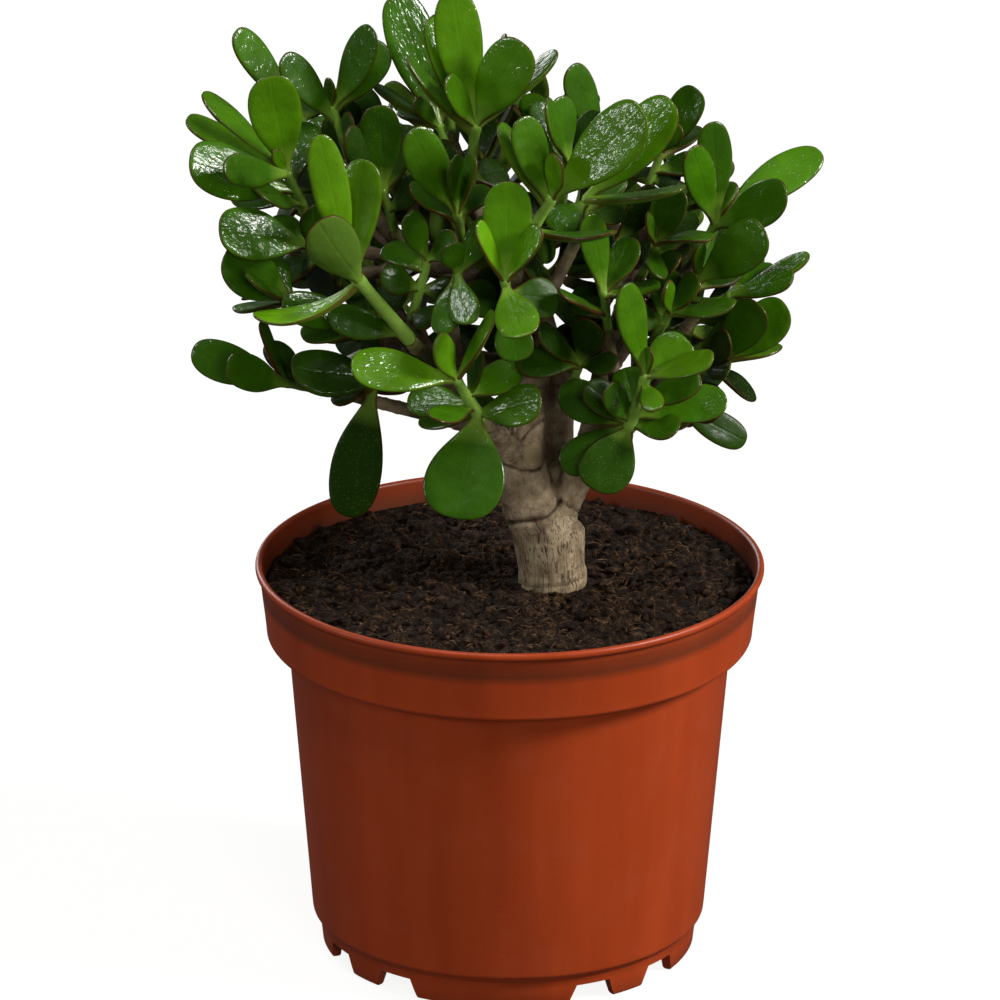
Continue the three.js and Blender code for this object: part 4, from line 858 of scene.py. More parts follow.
def model_stem():
    bpy.ops.mesh.primitive_circle_add(vertices=STEM_SIDES, radius=1, fill_type="NGON")
    stem = named("stem_model")
    edit(stem, "SELECT")
    for i in range(1, STEM_RINGS):
        draw_out((0, 0, 1 / (STEM_RINGS - 1)), (1, 1, 1), (0, 0, i / (STEM_RINGS - 1)))
    bpy.ops.mesh.extrude_region_move(TRANSFORM_OT_translate={"value": (0, 0, 0.04)})
    bpy.ops.transform.resize(value=(0.5, 0.5, 1), center_override=(0, 0, 1.04))
    bpy.ops.mesh.select_all(action="SELECT")
    bpy.ops.mesh.normals_make_consistent(inside=False)
    leave_edit()
    return stem


STEM_POINTS, STEM_FACES = read_off(model_stem())
print("stem model:", len(STEM_POINTS), "points", len(STEM_FACES), "faces")


def copy_stem(shoot):
    """Points of one shoot's stem, swollen at each node."""
    stem = shoot["to"] - shoot["from"]
    length = np.linalg.norm(stem)
    line = unit(stem)
    side = square_to(np.array([0.31, 0.95, 0.1]), line)
    other = np.cross(line, side)
    t = STEM_POINTS[:, 2]
    radius = shoot["radius"] * np.interp(t, (0, 0.5, 1), (1.04, 0.95, 0.8))
    for pose in shoot["set"]:
        node = np.linalg.norm(pose["root"] - shoot["from"]) / length
        radius = radius + 0.11 * shoot["radius"] * np.exp(-((t - node) / 0.05) ** 2)
    places = (shoot["from"] + line * (t * length)[:, None]
              + side * (STEM_POINTS[:, 0] * radius)[:, None] + other * (STEM_POINTS[:, 1] * radius)[:, None])
    return places, {"edge": np.full(len(t), 9.0), "side": np.zeros(len(t)), "along": t,
                    "across": STEM_POINTS[:, 0] * radius, "reach": t * length}


# %% [markdown]
# ## Growing every shoot
# The photograph shows bright, yellow-green young shoots in front and dull, dark old leaves below and
# inside. Each shoot gets a freshness from 0, old, to 1, new. A leaf lower on its stem is older. A leaf
# deeper in the crown, and every leaf of an inner shoot, is set less fresh and so darker: partly age and
# partly painted shade of the dense crown. A few leaves are set from the photograph, and each strays a little
# at random.

# %% Grow the shoots
FRESH = {"front_left": 0.75, "centre_left": 0.75, "front_centre": 0.75, "front_right": 0.6,
         "centre_high": 0.65, "upper_left": 0.55, "top_centre": 0.55, "left_stem": 0.6,
         "left_droop": 0.6, "left_skirt": 0.05, "right_skirt": 0.0, "left_arm": 0.3,
         "right_high": 0.6, "mid_high": 0.5, "left_inner": 0.2, "middle": 0.25, "left_low": 0.4,
         "left_shelf": 0.4, "left_top": 0.5, "left_middle": 0.4, "middle_right": 0.6}
# inner shoots start nearly old: partly their age, partly painted shade of the dense crown
INNER_FRESH_AND_SHADE, OUTER_FRESH, STRAY, ROUNDING_LEVELS = 0.08, 0.42, 0.07, 2
KNOWN_LEAVES = {("centre_left", 5): 0.38, ("front_right", 12): 0.12, ("front_left", 0): 0.24,
                ("front_centre", 4): 0.1, ("left_skirt", 0): 0.15, ("centre_left", 6): 0.45,
                ("right_low", 4): 0.15}
SHADE_CROWN_MIDDLE, SHADE_CROWN_REACH = np.array([0, 0, 310]), np.array([125, 100, 105])


def leaf_fresh_and_shade(shoot, index, fresh):
    """How fresh one leaf is, from its shoot and its place on the stem, with painted shade that makes it less
    fresh the deeper it sits in the crown.
    """
    pose = shoot["set"][index]
    node = np.linalg.norm(pose["root"] - shoot["from"]) / np.linalg.norm(shoot["to"] - shoot["from"])
    # painted shade: a leaf deeper in the crown is set less fresh and so darker, the outermost a little
    # fresher
    middle = pose["root"] + 0.7 * pose["length"] * pose["reach"]
    outwards = np.linalg.norm((middle - SHADE_CROWN_MIDDLE) / SHADE_CROWN_REACH)
    ruled = fresh - 0.45 * (1 - min(1, node)) + 0.55 * min(0.15, outwards - 0.8)
    return KNOWN_LEAVES.get((shoot["name"], index), ruled)


def grow_shoot(shoot):
    chance = np.random.default_rng(sum(ord(c) * (i + 1) for i, c in enumerate(shoot["name"])))
    inner = shoot["name"].startswith("inner")
    fresh = FRESH.get(shoot["name"], INNER_FRESH_AND_SHADE if inner else OUTER_FRESH)
    places, faces, values = [], [], {}
    copies = [(copy_stem(shoot), STEM_FACES, 1.0, fresh)]
    copies += [(copy_leaf(pose, chance), LEAF_FACES, 0.0, leaf_fresh_and_shade(shoot, i, fresh))
               for i, pose in enumerate(shoot["set"])]
    start = 0
    for (own, numbers), own_faces, stem, own_fresh in copies:
        places.append(own)
        faces += [[start + i for i in face] for face in own_faces]
        start += len(own)
        numbers.update(fresh=np.full(len(own), np.clip(own_fresh + chance.normal() * STRAY, 0, 1)),
                       tone=np.full(len(own), chance.random()), stem=np.full(len(own), stem))
        for key, numbers_here in numbers.items():
            values.setdefault(key, []).append(numbers_here)
    piece = piece_from_copies("foliage_" + shoot["name"], places, faces, values)
    rounding = piece.modifiers.new("rounding", "SUBSURF")
    rounding.levels = rounding.render_levels = ROUNDING_LEVELS
    return piece


foliage = {shoot["name"]: grow_shoot(shoot) for shoot in shoots}
print("foliage faces before rounding:", sum(len(p.data.polygons) for p in foliage.values()))

# %% [markdown]
# ## Finish: waxy leaf
# A jade leaf is filled with water under a waxy skin. The wax is a clear coat with normals of its own:
# it gives a sharp, bright highlight on the upper face, crinkled where the skin has puckered. Pale
# specks show where an old leaf breathes. The underside is paler and duller. A thin red-brown line
# follows the edge. The green tissue lets a little light pass, so thin and young leaves glow.

# %% Make the leaf finish
def leaf_skin(m, clouds, place, below):
    """The colours of leaf and stem, laid over each other."""
    edge, along, fresh, tone, stem = (add_node(m, ATTRIBUTE, out="Fac", attribute_name=name)
                                      for name in ("edge", "along", "fresh", "tone", "stem"))
    # from old dark green to young yellow-green; deep in the crown a low freshness is also painted shade
    upper = add_node(m, RAMP, [fresh], stops=((0, "1b3006"), (0.45, "3a6804"), (1, "679c08")))
    for factor, stops in ((tone, ((0, 0.7), (1, 1.2))), (clouds, ((0.3, 0.82), (0.7, 1.14)))):
        grey = add_node(m, RAMP, [factor], stops=stops)
        upper = add_node(m, MIX, {SHARE: 1.0, BASE: upper, OVER: grey}, RESULT,
                         data_type="RGBA", blend_type="MULTIPLY")
    # the underside is paler, greyer and duller
    under = add_node(m, MIX, {SHARE: 0.45, BASE: upper, OVER: "6f8f35"}, RESULT, data_type="RGBA")
    # pores: pale specks about 0.4 mm wide and 1.2 mm apart, most on old leaves
    pores = add_node(m, "ShaderNodeTexVoronoi", {"Vector": place, "Scale": 800.0})
    specks = add_node(m, MATH, [
        add_node(m, RAMP, [pores], stops=((0.09, 1.0), (0.2, 0.0))),
        add_node(m, RAMP, [fresh], stops=((0.0, 0.28), (0.4, 0.05)))], operation="MULTIPLY")
    # towards its root a leaf turns pale
    root = add_node(m, RAMP, [along], stops=((0.0, 0.75), (0.3, 0.0)))
    # stems: bright green when young, olive when old, and on inner shoots also darker as painted shade
    stems = add_node(m, RAMP, [fresh], stops=((0, "4c5726"), (0.5, "7ba43a"), (1, "a3cc58")))
    grey = add_node(m, RAMP, [clouds], stops=((0.3, 0.8), (0.7, 1.1)))
    stems = add_node(m, MIX, {SHARE: 1.0, BASE: stems, OVER: grey}, RESULT,
                     data_type="RGBA", blend_type="MULTIPLY")
    # the red-brown line on the edge, about 0.6 mm wide, deeper on some leaves
    line = add_node(m, MATH, [
        add_node(m, RAMP, [edge], stops=((0.22, 1.0), (0.75, 0.0))),
        add_node(m, RAMP, [tone], stops=((0.0, 0.4), (1.0, 0.95)))], operation="MULTIPLY")
    skin = upper
    for share, colour in ((below, under), (specks, "a9c070"), (root, "8db23f"), (stem, stems),
                          (line, "4b1d12")):
        skin = add_node(m, MIX, {SHARE: share, BASE: skin, OVER: colour}, RESULT, data_type="RGBA")
    return skin


def leaf_relief(m, place):
    """Normals of the flesh and of the wax, which puckers more."""
    fresh, tone, across, reach = (add_node(m, ATTRIBUTE, out="Fac", attribute_name=name)
                                  for name in ("fresh", "tone", "across", "reach"))
    # puckers about 2 mm wide, which is coarser than the real ones so that they show and don't
    # glitter, drawn out along the blade, weaker on old leaves and unlike on each leaf
    drawn = add_node(m, MATH, [reach, 0.55], operation="MULTIPLY")
    own = add_node(m, MATH, [tone, 90.0], operation="MULTIPLY")
    spread = add_node(m, "ShaderNodeCombineXYZ", [across, drawn, own])
    pucker = add_node(m, NOISE, {"Vector": spread, "Scale": 0.5, "Detail": 2.0, "Roughness": 0.35,
                                 "Distortion": 1.2})
    young = add_node(m, RAMP, [fresh], stops=((0.2, 0.25), (0.4, 1.0)))
    pucker = add_node(m, MATH, [pucker, young], operation="MULTIPLY")
    # swells about 6 mm wide, and the shallow groove over the midrib
    swell = add_node(m, NOISE, {"Vector": place, "Scale": 150.0, "Detail": 1.0})
    rib = add_node(m, MATH, [across], operation="ABSOLUTE")
    rib = add_node(m, RAMP, [rib], stops=((0.0, 0.0), (0.9, 1.0)))
    rib = add_node(m, MATH, [rib, 0.14], operation="MULTIPLY")
    form = add_node(m, MATH, [swell, rib], operation="ADD")
    normals = []
    for strength in (0.25, 0.6):
        folds = add_node(m, MATH, [pucker, strength], operation="MULTIPLY")
        height = add_node(m, MATH, [form, folds], operation="ADD")
        normals.append(add_node(m, BUMP, {"Height": height, "Strength": 0.6, "Distance": 0.001}))
    return normals


def make_leaf_finish():
    m = new_material("waxy_jade_leaf")
    place = add_node(m, "ShaderNodeTexCoord", out="Object")
    side, fresh = (add_node(m, ATTRIBUTE, out="Fac", attribute_name=name) for name in ("side", "fresh"))
    # clouds of tone across a blade, about 12 mm wide
    clouds = add_node(m, NOISE, {"Vector": place, "Scale": 85.0, "Detail": 3.0})
    below = add_node(m, MATH, [side, -1.0], operation="MULTIPLY")
    below = add_node(m, RAMP, [below], stops=((0.0, 0.0), (0.5, 1.0)))
    flesh, wax_folds = leaf_relief(m, place)
    # wax: a clear coat, thick on the upper face of young leaves and nearly gone from old ones
    wax = add_node(m, RAMP, [fresh], stops=((0.12, 0.05), (0.4, 0.9)))
    for factor, stops in ((below, ((0.0, 1.0), (1.0, 0.35))), (clouds, ((0.3, 1.0), (0.7, 0.7)))):
        thinner = add_node(m, RAMP, [factor], stops=stops)
        wax = add_node(m, MATH, [wax, thinner], operation="MULTIPLY")
    shader = add_node(m, "ShaderNodeBsdfPrincipled", {
        "Base Color": leaf_skin(m, clouds, place, below), "Normal": flesh,
        "Roughness": add_node(m, RAMP, [clouds], stops=((0.35, 0.38), (0.75, 0.5))),
        "Specular IOR Level": 0.14, "IOR": 1.45,
        "Coat Weight": wax, "Coat Roughness": 0.13, "Coat Normal": wax_folds,
        "Subsurface Weight": 0.12, "Subsurface Radius": (0.5, 1.0, 0.2), "Subsurface Scale": 0.0012})
    add_node(m, OUTPUT, [shader], None)
    return m


leaf_finish = make_leaf_finish()
for name, piece in foliage.items():
    dress(piece, leaf_finish, "leaf", "shoot_" + name)
print("leaf finish on", len(foliage), "pieces")

# %% [markdown]
# ## The woody trunk
# Old jade wood is grey-brown and smooth, swollen at its joints, with rings where leaves once sat, fine
# cracks along the grain and pale oval scars where shoots broke off. The solid trunk has the right
# limbs but flat facets. Its copy is welded, remeshed into small even faces and smoothed, and then each
# point is moved along its normal, which gives round limbs, rings, grooves and scars in real geometry.

# %% Copy the trunk and remesh it
WOOD_FACE, SOFTENING, SOFT_PASSES = 1.0, 0.5, 5


def remeshed_trunk():
    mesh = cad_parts["trunk"].data.copy()
    wood = bpy.data.objects.new("trunk_bark", mesh)
    mesh.name = "trunk_bark"
    bpy.context.scene.collection.objects.link(wood)
    edit(wood, "SELECT")
    bpy.ops.mesh.remove_doubles(threshold=1e-6)
    leave_edit()
    mesh.remesh_voxel_size = WOOD_FACE * MM
    bpy.ops.object.voxel_remesh()
    smooth = wood.modifiers.new("smooth", "SMOOTH")
    smooth.factor = SOFTENING
    smooth.iterations = SOFT_PASSES
    bpy.ops.object.modifier_apply(modifier="smooth")
    bpy.ops.object.shade_smooth()
    return wood


wood = remeshed_trunk()
print("wood faces:", len(wood.data.polygons))

# %% [markdown]
# ## Which limb a point belongs to
# Rings and grain follow the limb they sit on. So each point finds its nearest limb and reads off how
# far it is along it and round it. The grain is kept as a small vector without a seam: two parts
# across the limb, and one along it that is drawn out, so that cracks run lengthwise.

# %% Find limbs, grain and girth
def all_limbs():
    """Every stretch of wood: start, end, both radii, how young it is and a length to count rings from."""
    limbs = []
    for name, (at, radius, parent) in JOINTS.items():
        if parent:
            root, root_radius, _ = JOINTS[parent]
            limbs.append((root, at, min(root_radius * 0.96, radius * 1.25), radius, 0.0, 0.0, 0.0, name))
    for shoot in shoots:
        points, radii = twig_path(shoot)
        run = 0.0
        for i in range(3):
            limbs.append((points[i], points[i + 1], radii[i], radii[i + 1], i / 3, (i + 1) / 3, run, "twig"))
            run += np.linalg.norm(points[i + 1] - points[i])
    return limbs


def read_limbs(places):
    """For each point: its limb, the share along it, the way out from its axis and the distance."""
    best = np.full(len(places), np.inf)
    which, share = np.zeros(len(places), int), np.zeros(len(places))
    for i, (a, b, ra, rb, *_) in enumerate(LIMBS):
        line = b - a
        t = np.clip((places - a) @ line / line.dot(line), 0, 1)
        off = np.linalg.norm(places - a - t[:, None] * line, axis=1) - (ra + (rb - ra) * t)
        nearer = off < best
        best[nearer], which[nearer], share[nearer] = off[nearer], i, t[nearer]
    return which, share, best


LIMBS = all_limbs()
wood_points = points_of(wood.data) / MM
wood_limb, wood_share, wood_off = read_limbs(wood_points)
starts, ends = (np.array([limb[k] for limb in LIMBS])[wood_limb] for k in (0, 1))
first_radius, last_radius, first_young, last_young, run_before = (
    np.array([limb[k] for limb in LIMBS])[wood_limb] for k in (2, 3, 4, 5, 6))
axis_points = starts + (ends - starts) * wood_share[:, None]
girth = first_radius + (last_radius - first_radius) * wood_share
young = first_young + (last_young - first_young) * wood_share
along_limb = run_before + np.linalg.norm(ends - starts, axis=1) * wood_share
out = wood_points - axis_points
print("limbs:", len(LIMBS), "widest girth:", round(girth.max(), 1), "mm")

# %% [markdown]
# ## Grooves, rings and scars
# Some marks are placed from the photograph: the groove under the knuckle, the ring on the right limb,
# the ring just above the soil, a pale oval scar and the ringed stub, with folds round its cut end. The
# others follow a rule, a ring every dozen millimetres or so, since leaf pairs sit about that far apart.

# %% Shape the bark
GROOVES = (  # seen points of each groove, its half width and its depth
    (((-1.5, 15.2), (5, 16), (11, 16.6), (15.5, 18), (19, 21.3), (20.5, 25)), 0.9, 1.2),
    (((20.5, 25), (23, 22.6), (26.5, 20.9), (31, 19.2)), 0.7, 0.8),
    (((2, -9), (9, -10.8), (16.5, -11.2), (24, -9.9), (31.5, -6.4)), 0.7, 0.7),
    (((-3, 40), (1, 38.4), (5, 37), (9, 36.7), (13, 38)), 0.8, 0.9),
    (((3, 46), (6, 51.5), (9.5, 55), (14, 58)), 0.7, 0.8),
    (((9, 72), (13, 71.2), (17, 72.4)), 0.6, 0.7),
    (((9, 84), (13, 83.4), (17, 84.6)), 0.6, 0.5))
OVAL_SCAR = (9.8, 43, 3.7, 5.0)  # across and rise of its middle, and its two half widths
CUT_END = (-8.5, 55.5, 2.7, 3.5)
# the folds are arcs round the cut end, each as far from it as r says
FOLDS = tuple((tuple((CUT_END[0] + r * cos(radians(a)), CUT_END[1] + r * sin(radians(a)))
                     for a in range(-110, 41, 15)), 0.5, 0.9) for r in (3.4, 5.2, 7.0, 9.2, 11.4))


def seen_distance(across, rise, line):
    """Distance in the picture from points to a line of seen points."""
    best = np.full(len(across), np.inf)
    for (ax, ay), (bx, by) in zip(line, line[1:]):
        wx, wy = bx - ax, by - ay
        t = np.clip(((across - ax) * wx + (rise - ay) * wy) / (wx * wx + wy * wy), 0, 1)
        best = np.minimum(best, np.hypot(across - ax - t * wx, rise - ay - t * wy))
    return best


def noise_at(places, size, seed, detail=2):
    """Soft noise from -1 to 1 with lumps of the given size in millimetres."""
    return np.array([noise.fractal(Vector(p / size) + Vector((seed, 0, 0)), 0.6, 2.0, detail)
                     for p in places]) * 0.9


def bark_height():
    """How far each point of the bark moves outwards, and where the oval scar and cut end are."""
    normals = np.empty(len(wood_points) * 3)
    wood.data.vertices.foreach_get("normal", normals)
    normals = normals.reshape(-1, 3)
    across, rise = seen_from(wood_points)
    front = np.clip((normals @ TO_FRONT - 0.05) * 4, 0, 1) * (wood_points[:, 2] < 262)
    height = np.clip(girth - np.linalg.norm(out, axis=1), -0.9, 0.9) * 0.75 * (girth < 6)
    for line, wide, deep in GROOVES + FOLDS:
        away = seen_distance(across, rise, line)
        height -= deep * front * np.exp(-(away / wide) ** 2)
        height += 0.35 * deep * front * np.exp(-((away - 2.4 * wide) / (1.3 * wide)) ** 2)
    spread = np.hypot((across - OVAL_SCAR[0]) / OVAL_SCAR[2], (rise - OVAL_SCAR[1]) / OVAL_SCAR[3])
    scar = np.clip((1.12 - spread) * 5, 0, 1) * front
    height += 0.6 * scar - 0.5 * np.exp(-((spread - 1.15) / 0.12) ** 2) * front
    spacing = np.where(girth > 6, 17.0, np.where(young > 0.5, 9.0, 12.5))
    wobble = noise_at(wood_points, 14, 3.0, 1)
    phase = (along_limb / spacing + 0.12 * wobble) % 1
    ring = np.exp(-((phase - 0.5) / 0.07) ** 2)
    height += ring * np.where(girth > 9, 0.15, np.minimum(0.45, 0.055 * girth + 0.12))
    height -= 0.25 * np.exp(-((phase - 0.62) / 0.05) ** 2) * (girth > 3) * (girth < 10)
    stub = np.array([LIMBS[i][7] == "ringed" for i in wood_limb]) & (wood_off < 1.5)
    height += np.where(stub & (wood_share > 0.2), 0.9 * np.sin(2 * pi * along_limb / 3.0), 0)
    fine = noise_at(wood_points, 4.5, 9.0) * np.clip(girth / 5, 0.3, 1)
    height += 0.25 * wobble * np.clip(girth / 9, 0.15, 1) + 0.14 * fine
    return height, normals, scar, stub


bark, wood_normals, oval_scar, on_stub = bark_height()
bark *= np.clip((wood_points[:, 2] - 100) / 20, 0, 1)
move_points(wood.data, (wood_points + wood_normals * bark[:, None]) * MM)
print("bark relief from", round(bark.min(), 2), "to", round(bark.max(), 2), "mm")

# %% [markdown]
# ## What the bark carries
# The finish needs to know more than a place in space. So the mesh keeps the grain, how young the wood
# is, where the scar and the cut end are, and how deep a groove is, one number for each point.

# %% Carry the grain for the bark's finish
def carry_grain():
    line = ends - starts
    line /= np.linalg.norm(line, axis=1)[:, None]
    side = np.cross(line, (0.31, 0.95, 0.1))
    side /= np.linalg.norm(side, axis=1)[:, None]
    other = np.cross(line, side)
    drawn = along_limb * 0.14 + wood_limb * 7.0  # stretches the noise seven times, unlike on each limb
    grain = np.stack([(out * side).sum(1), (out * other).sum(1), drawn], 1) * MM
    layer = wood.data.attributes.new("grain", "FLOAT_VECTOR", "POINT")
    layer.data.foreach_set("vector", grain.astype(np.float32).ravel())
    stub_line = unit(JOINTS["ringed"][0] - JOINTS["left1"][0])
    across, rise = seen_from(wood_points)
    spread = np.hypot((across - CUT_END[0]) / CUT_END[2], (rise - CUT_END[1]) / CUT_END[3])
    at_end = np.clip((wood_normals @ stub_line - 0.75) * 8, 0, 1) * (wood_share > 0.9)
    cut = on_stub * np.maximum(at_end, np.clip((1.1 - spread) * 5, 0, 1))
    for name, values in (("young", young), ("scar", oval_scar), ("cut", cut), ("relief", bark)):
        carry(wood.data, name, values)


carry_grain()
print("the bark carries:", ", ".join(name for name in ("young", "scar", "cut", "relief", "grain")
                                     if name in wood.data.attributes))

# %% [markdown]
# ## Finish: jade bark
# The bark is a thin, matt, corky skin, grey-brown with paler patches, with painted shade darkening its
# grooves.
# Fine cracks about 2 mm apart run lengthwise. Towards the shoots it turns olive green.

# %% Make the bark finish
def bark_cracks(m, place, height):
    """Narrow valleys of a noise drawn out along the limb, broken up, and fainter above the knuckle."""
    grain = add_node(m, ATTRIBUTE, out="Vector", attribute_name="grain")
    valleys = add_node(m, NOISE, {"Vector": grain, "Scale": 560.0, "Detail": 2.0, "Roughness": 0.5})
    middle = add_node(m, MATH, [valleys, 0.5], operation="SUBTRACT")
    middle = add_node(m, MATH, [middle], operation="ABSOLUTE")
    cracks = add_node(m, RAMP, [middle], stops=((0.009, 1.0), (0.034, 0.0)))
    # they break off about every 4 mm
    broken = add_node(m, NOISE, {"Vector": place, "Scale": 240.0, "Detail": 2.0})
    for factor, stops in ((broken, ((0.32, 0.0), (0.44, 1.0))), (height, ((0.186, 1.0), (0.2, 0.3)))):
        share = add_node(m, RAMP, [factor], stops=stops)
        cracks = add_node(m, MATH, [cracks, share], operation="MULTIPLY")
    return cracks


def make_bark_finish():
    m = new_material("corky_jade_bark")
    place = add_node(m, "ShaderNodeTexCoord", out="Object")
    height = add_node(m, "ShaderNodeSeparateXYZ", [place], "Z")
    young, scar, cut, relief = (add_node(m, ATTRIBUTE, out="Fac", attribute_name=name)
                                for name in ("young", "scar", "cut", "relief"))
    # patches of tone, about 8 mm wide
    patches = add_node(m, NOISE, {"Vector": place, "Scale": 130.0, "Detail": 4.0, "Roughness": 0.65})
    cracks = bark_cracks(m, place, height)
    # dark pores of the cork, about 0.6 mm wide and 2.4 mm apart
    specks = add_node(m, "ShaderNodeTexVoronoi", {"Vector": place, "Scale": 420.0})
    # painted shade: the bark is darker where its relief sinks in, as in its grooves and folds
    depth = add_node(m, MATH, [relief, -1.0], operation="MULTIPLY")
    # from about 240 mm up, inside the crown, the wood is painted darker and browner as shade of the crown,
    # and new twigs are green
    layers = (
        (add_node(m, MATH, [cracks, 0.8], operation="MULTIPLY"), "33261a"),
        (add_node(m, RAMP, [specks], stops=((0.08, 0.6), (0.17, 0.0))), "4a3a27"),
        (add_node(m, RAMP, [depth], stops=((0.25, 0.0), (0.85, 0.8))), "2c2016"),
        (add_node(m, MATH, [scar, 0.7], operation="MULTIPLY"), "a8946a"), (cut, "9a6a52"),
        (add_node(m, RAMP, [height], stops=((0.238, 0.0), (0.262, 0.62))), "2b1c12"),
        (add_node(m, RAMP, [young], stops=((0.45, 0.0), (1.0, 0.8))), "67702e"))
    skin = add_node(m, RAMP, [patches], stops=((0.3, "75634a"), (0.5, "9a876a"), (0.72, "baa88a")))
    for share, colour in layers:
        skin = add_node(m, MIX, {SHARE: share, BASE: skin, OVER: colour}, RESULT, data_type="RGBA")
    sunk = add_node(m, MATH, [cracks, 0.6], operation="MULTIPLY")
    sunk = add_node(m, MATH, [patches, sunk], operation="SUBTRACT")
    shader = add_node(m, "ShaderNodeBsdfPrincipled", {
        "Base Color": skin, "Specular IOR Level": 0.35,
        "Roughness": add_node(m, RAMP, [patches], stops=((0.3, 0.82), (0.7, 0.66))),
        "Normal": add_node(m, BUMP, {"Height": sunk, "Strength": 0.8, "Distance": 0.0006})})
    add_node(m, OUTPUT, [shader], None)
    return m


dress(wood, make_bark_finish(), "bark", "trunk")
print("bark finish on trunk_bark")

# %% [markdown]
# ## Potting soil
# Potting soil is dark peat: damp crumbs from dust to pea size, with pale fibres and bits of bark. A
# bump on a flat disc looks like paint, so the top is drawn in as rings of small faces, roughened
# with noise, and strewn with crumbs and fibres that cast their own shadows.

# %% Draw in the soil's top
SOIL_LEVEL, SOIL_MOUND, POT_INSIDE, SOIL_RINGS, SOIL_SPOKES = 157.5, 3.0, 99.0, 80, 320
TRUNK_X, TRUNK_Y, TRUNK_CLEAR, RIM_RADIUS = 17.5, -5, 16, 105


FLOOR_TOP, FLOOR_UNDER, AXIS_GAP = 11, 9.4, 6
FOOT_RADIUS, FLARE = 80.3, 0.0838


def body_radius(z):
    """Outer radius of the pot's tapered body."""
    return FOOT_RADIUS + FLARE * z


def model_soil():
    """Draws the soil up the inside of the pot, and then inwards over its top in even rings."""
    height, radius = FLOOR_TOP + 0.4, body_radius(FLOOR_TOP) - 5.2
    bpy.ops.mesh.primitive_circle_add(vertices=SOIL_SPOKES, radius=radius, fill_type="NGON",
                                      location=(0, 0, height))
    soil = named("peat_soil")
    bpy.ops.object.transform_apply(location=True, rotation=False, scale=False)
    edit(soil, "SELECT")
    for z, r in ((15.4, body_radius(15.4) - 2.2), (134, body_radius(134) - 2.2),
                 (140.3, 98.2), (SOIL_LEVEL - 0.6, POT_INSIDE + 0.9)):
        draw_out((0, 0, z - height), (r / radius, r / radius, 1), (0, 0, z))
        height, radius = z, r
    for ring in range(SOIL_RINGS - 1, 0, -1):
        r = (POT_INSIDE + 0.9) * ring / SOIL_RINGS
        draw_out((0, 0, 0), (r / radius, r / radius, 1), (0, 0, height))
        radius = r
    bpy.ops.mesh.extrude_region_move()
    bpy.ops.mesh.merge(type="CENTER")
    bpy.ops.mesh.select_all(action="SELECT")
    bpy.ops.mesh.normals_make_consistent(inside=False)
    leave_edit()
    return soil


def soil_level(x, y):
    away = np.hypot(x - TRUNK_X, y - TRUNK_Y) / RIM_RADIUS
    return SOIL_LEVEL + SOIL_MOUND * np.maximum(0, 1 - away ** 2)


soil = model_soil()
soil_points = points_of(soil.data)
on_top = soil_points[:, 2] > SOIL_LEVEL - 1
top = soil_points[on_top]
lumps = 2.0 * noise_at(top, 17, 1.0, 1) + 2.4 * noise_at(top, 7, 5.0, 2) + 1.5 * noise_at(top, 2.6, 7.0, 2)
near_wall = np.clip((POT_INSIDE + 1 - np.hypot(top[:, 0], top[:, 1])) / 4, 0, 1)
at_trunk = np.exp(-((np.hypot(top[:, 0] - TRUNK_X, top[:, 1] - TRUNK_Y) - TRUNK_CLEAR) / 5) ** 2)
lumps = lumps * (0.35 + 0.65 * near_wall) * (1 - 0.7 * at_trunk)
top[:, 2] = soil_level(top[:, 0], top[:, 1]) + lumps - 0.6 * at_trunk
soil_points[on_top] = top
move_points(soil.data, soil_points * MM)
print("soil faces:", len(soil.data.polygons))

# %% [markdown]
# ## Crumbs and fibres
# A crumb is a lump of peat, modelled once from a small ball with its points pulled about. Each copy is
# turned, stretched and pressed a little way into the soil. A fibre is a thin curved strand of moss or
# root, and most fibres lie in tufts.

# %% Model a crumb and strew it
FIND_GROUND = KDTree(len(top))
for index, (x, y, z) in enumerate(top):
    FIND_GROUND.insert((x, y, 0), index)
FIND_GROUND.balance()


def ground_level(x, y):
    """Height of the lumpy soil at a spot, from its nearest point."""
    return top[FIND_GROUND.find((x, y, 0))[1], 2]


def model_crumb():
    bpy.ops.mesh.primitive_ico_sphere_add(subdivisions=2, radius=1)
    crumb = named("crumb_model")
    places = points_of(crumb.data)
    pulls = noise_at(places * 10, 9, 2.0, 2)
    move_points(crumb.data, places * (1 + 0.9 * pulls[:, None]))
    return read_off(crumb)


def model_fibre():
    """A strand of three sides along X, one unit long."""
    bpy.ops.mesh.primitive_circle_add(vertices=3, radius=1, rotation=(0, pi / 2, 0), fill_type="NGON")
    fibre = named("fibre_model")
    bpy.ops.object.transform_apply(rotation=True, location=False, scale=False)
    edit(fibre, "SELECT")
    for i in range(6):
        thin = 0.8 if i > 3 else 1
        draw_out((1 / 6, 0, 0), (1, thin, thin), ((i + 1) / 6, 0, 0))
    bpy.ops.mesh.select_all(action="SELECT")
    bpy.ops.mesh.normals_make_consistent(inside=False)
    leave_edit()
    return read_off(fibre)


def any_turn(chance, flat=1.0):
    """A random turn, as three rows."""
    return np.array((Matrix.Rotation(chance.random() * 2 * pi, 3, "Z")
                     @ Matrix.Rotation((chance.random() - 0.5) * pi * flat, 3, "Y")
                     @ Matrix.Rotation((chance.random() - 0.5) * pi * flat, 3, "X")))


def top_spot(chance):
    """A random spot on the soil, off the trunk and the wall."""
    while True:
        radius, angle = (POT_INSIDE - 1.5) * sqrt(chance.random()), 2 * pi * chance.random()
        x, y = radius * cos(angle), radius * sin(angle)
        if np.hypot(x - TRUNK_X, y - TRUNK_Y) > TRUNK_CLEAR:
            return x, y


def tuft_spot(chance, tufts):
    """A spot near the middle of a random tuft, or anywhere for one in four."""
    if chance.random() < 0.25:
        return top_spot(chance)
    while True:
        x, y = np.array(tufts[chance.integers(len(tufts))]) + chance.normal(size=2) * 3.5
        if np.hypot(x - TRUNK_X, y - TRUNK_Y) > TRUNK_CLEAR and np.hypot(x, y) < POT_INSIDE - 1.5:
            return x, y


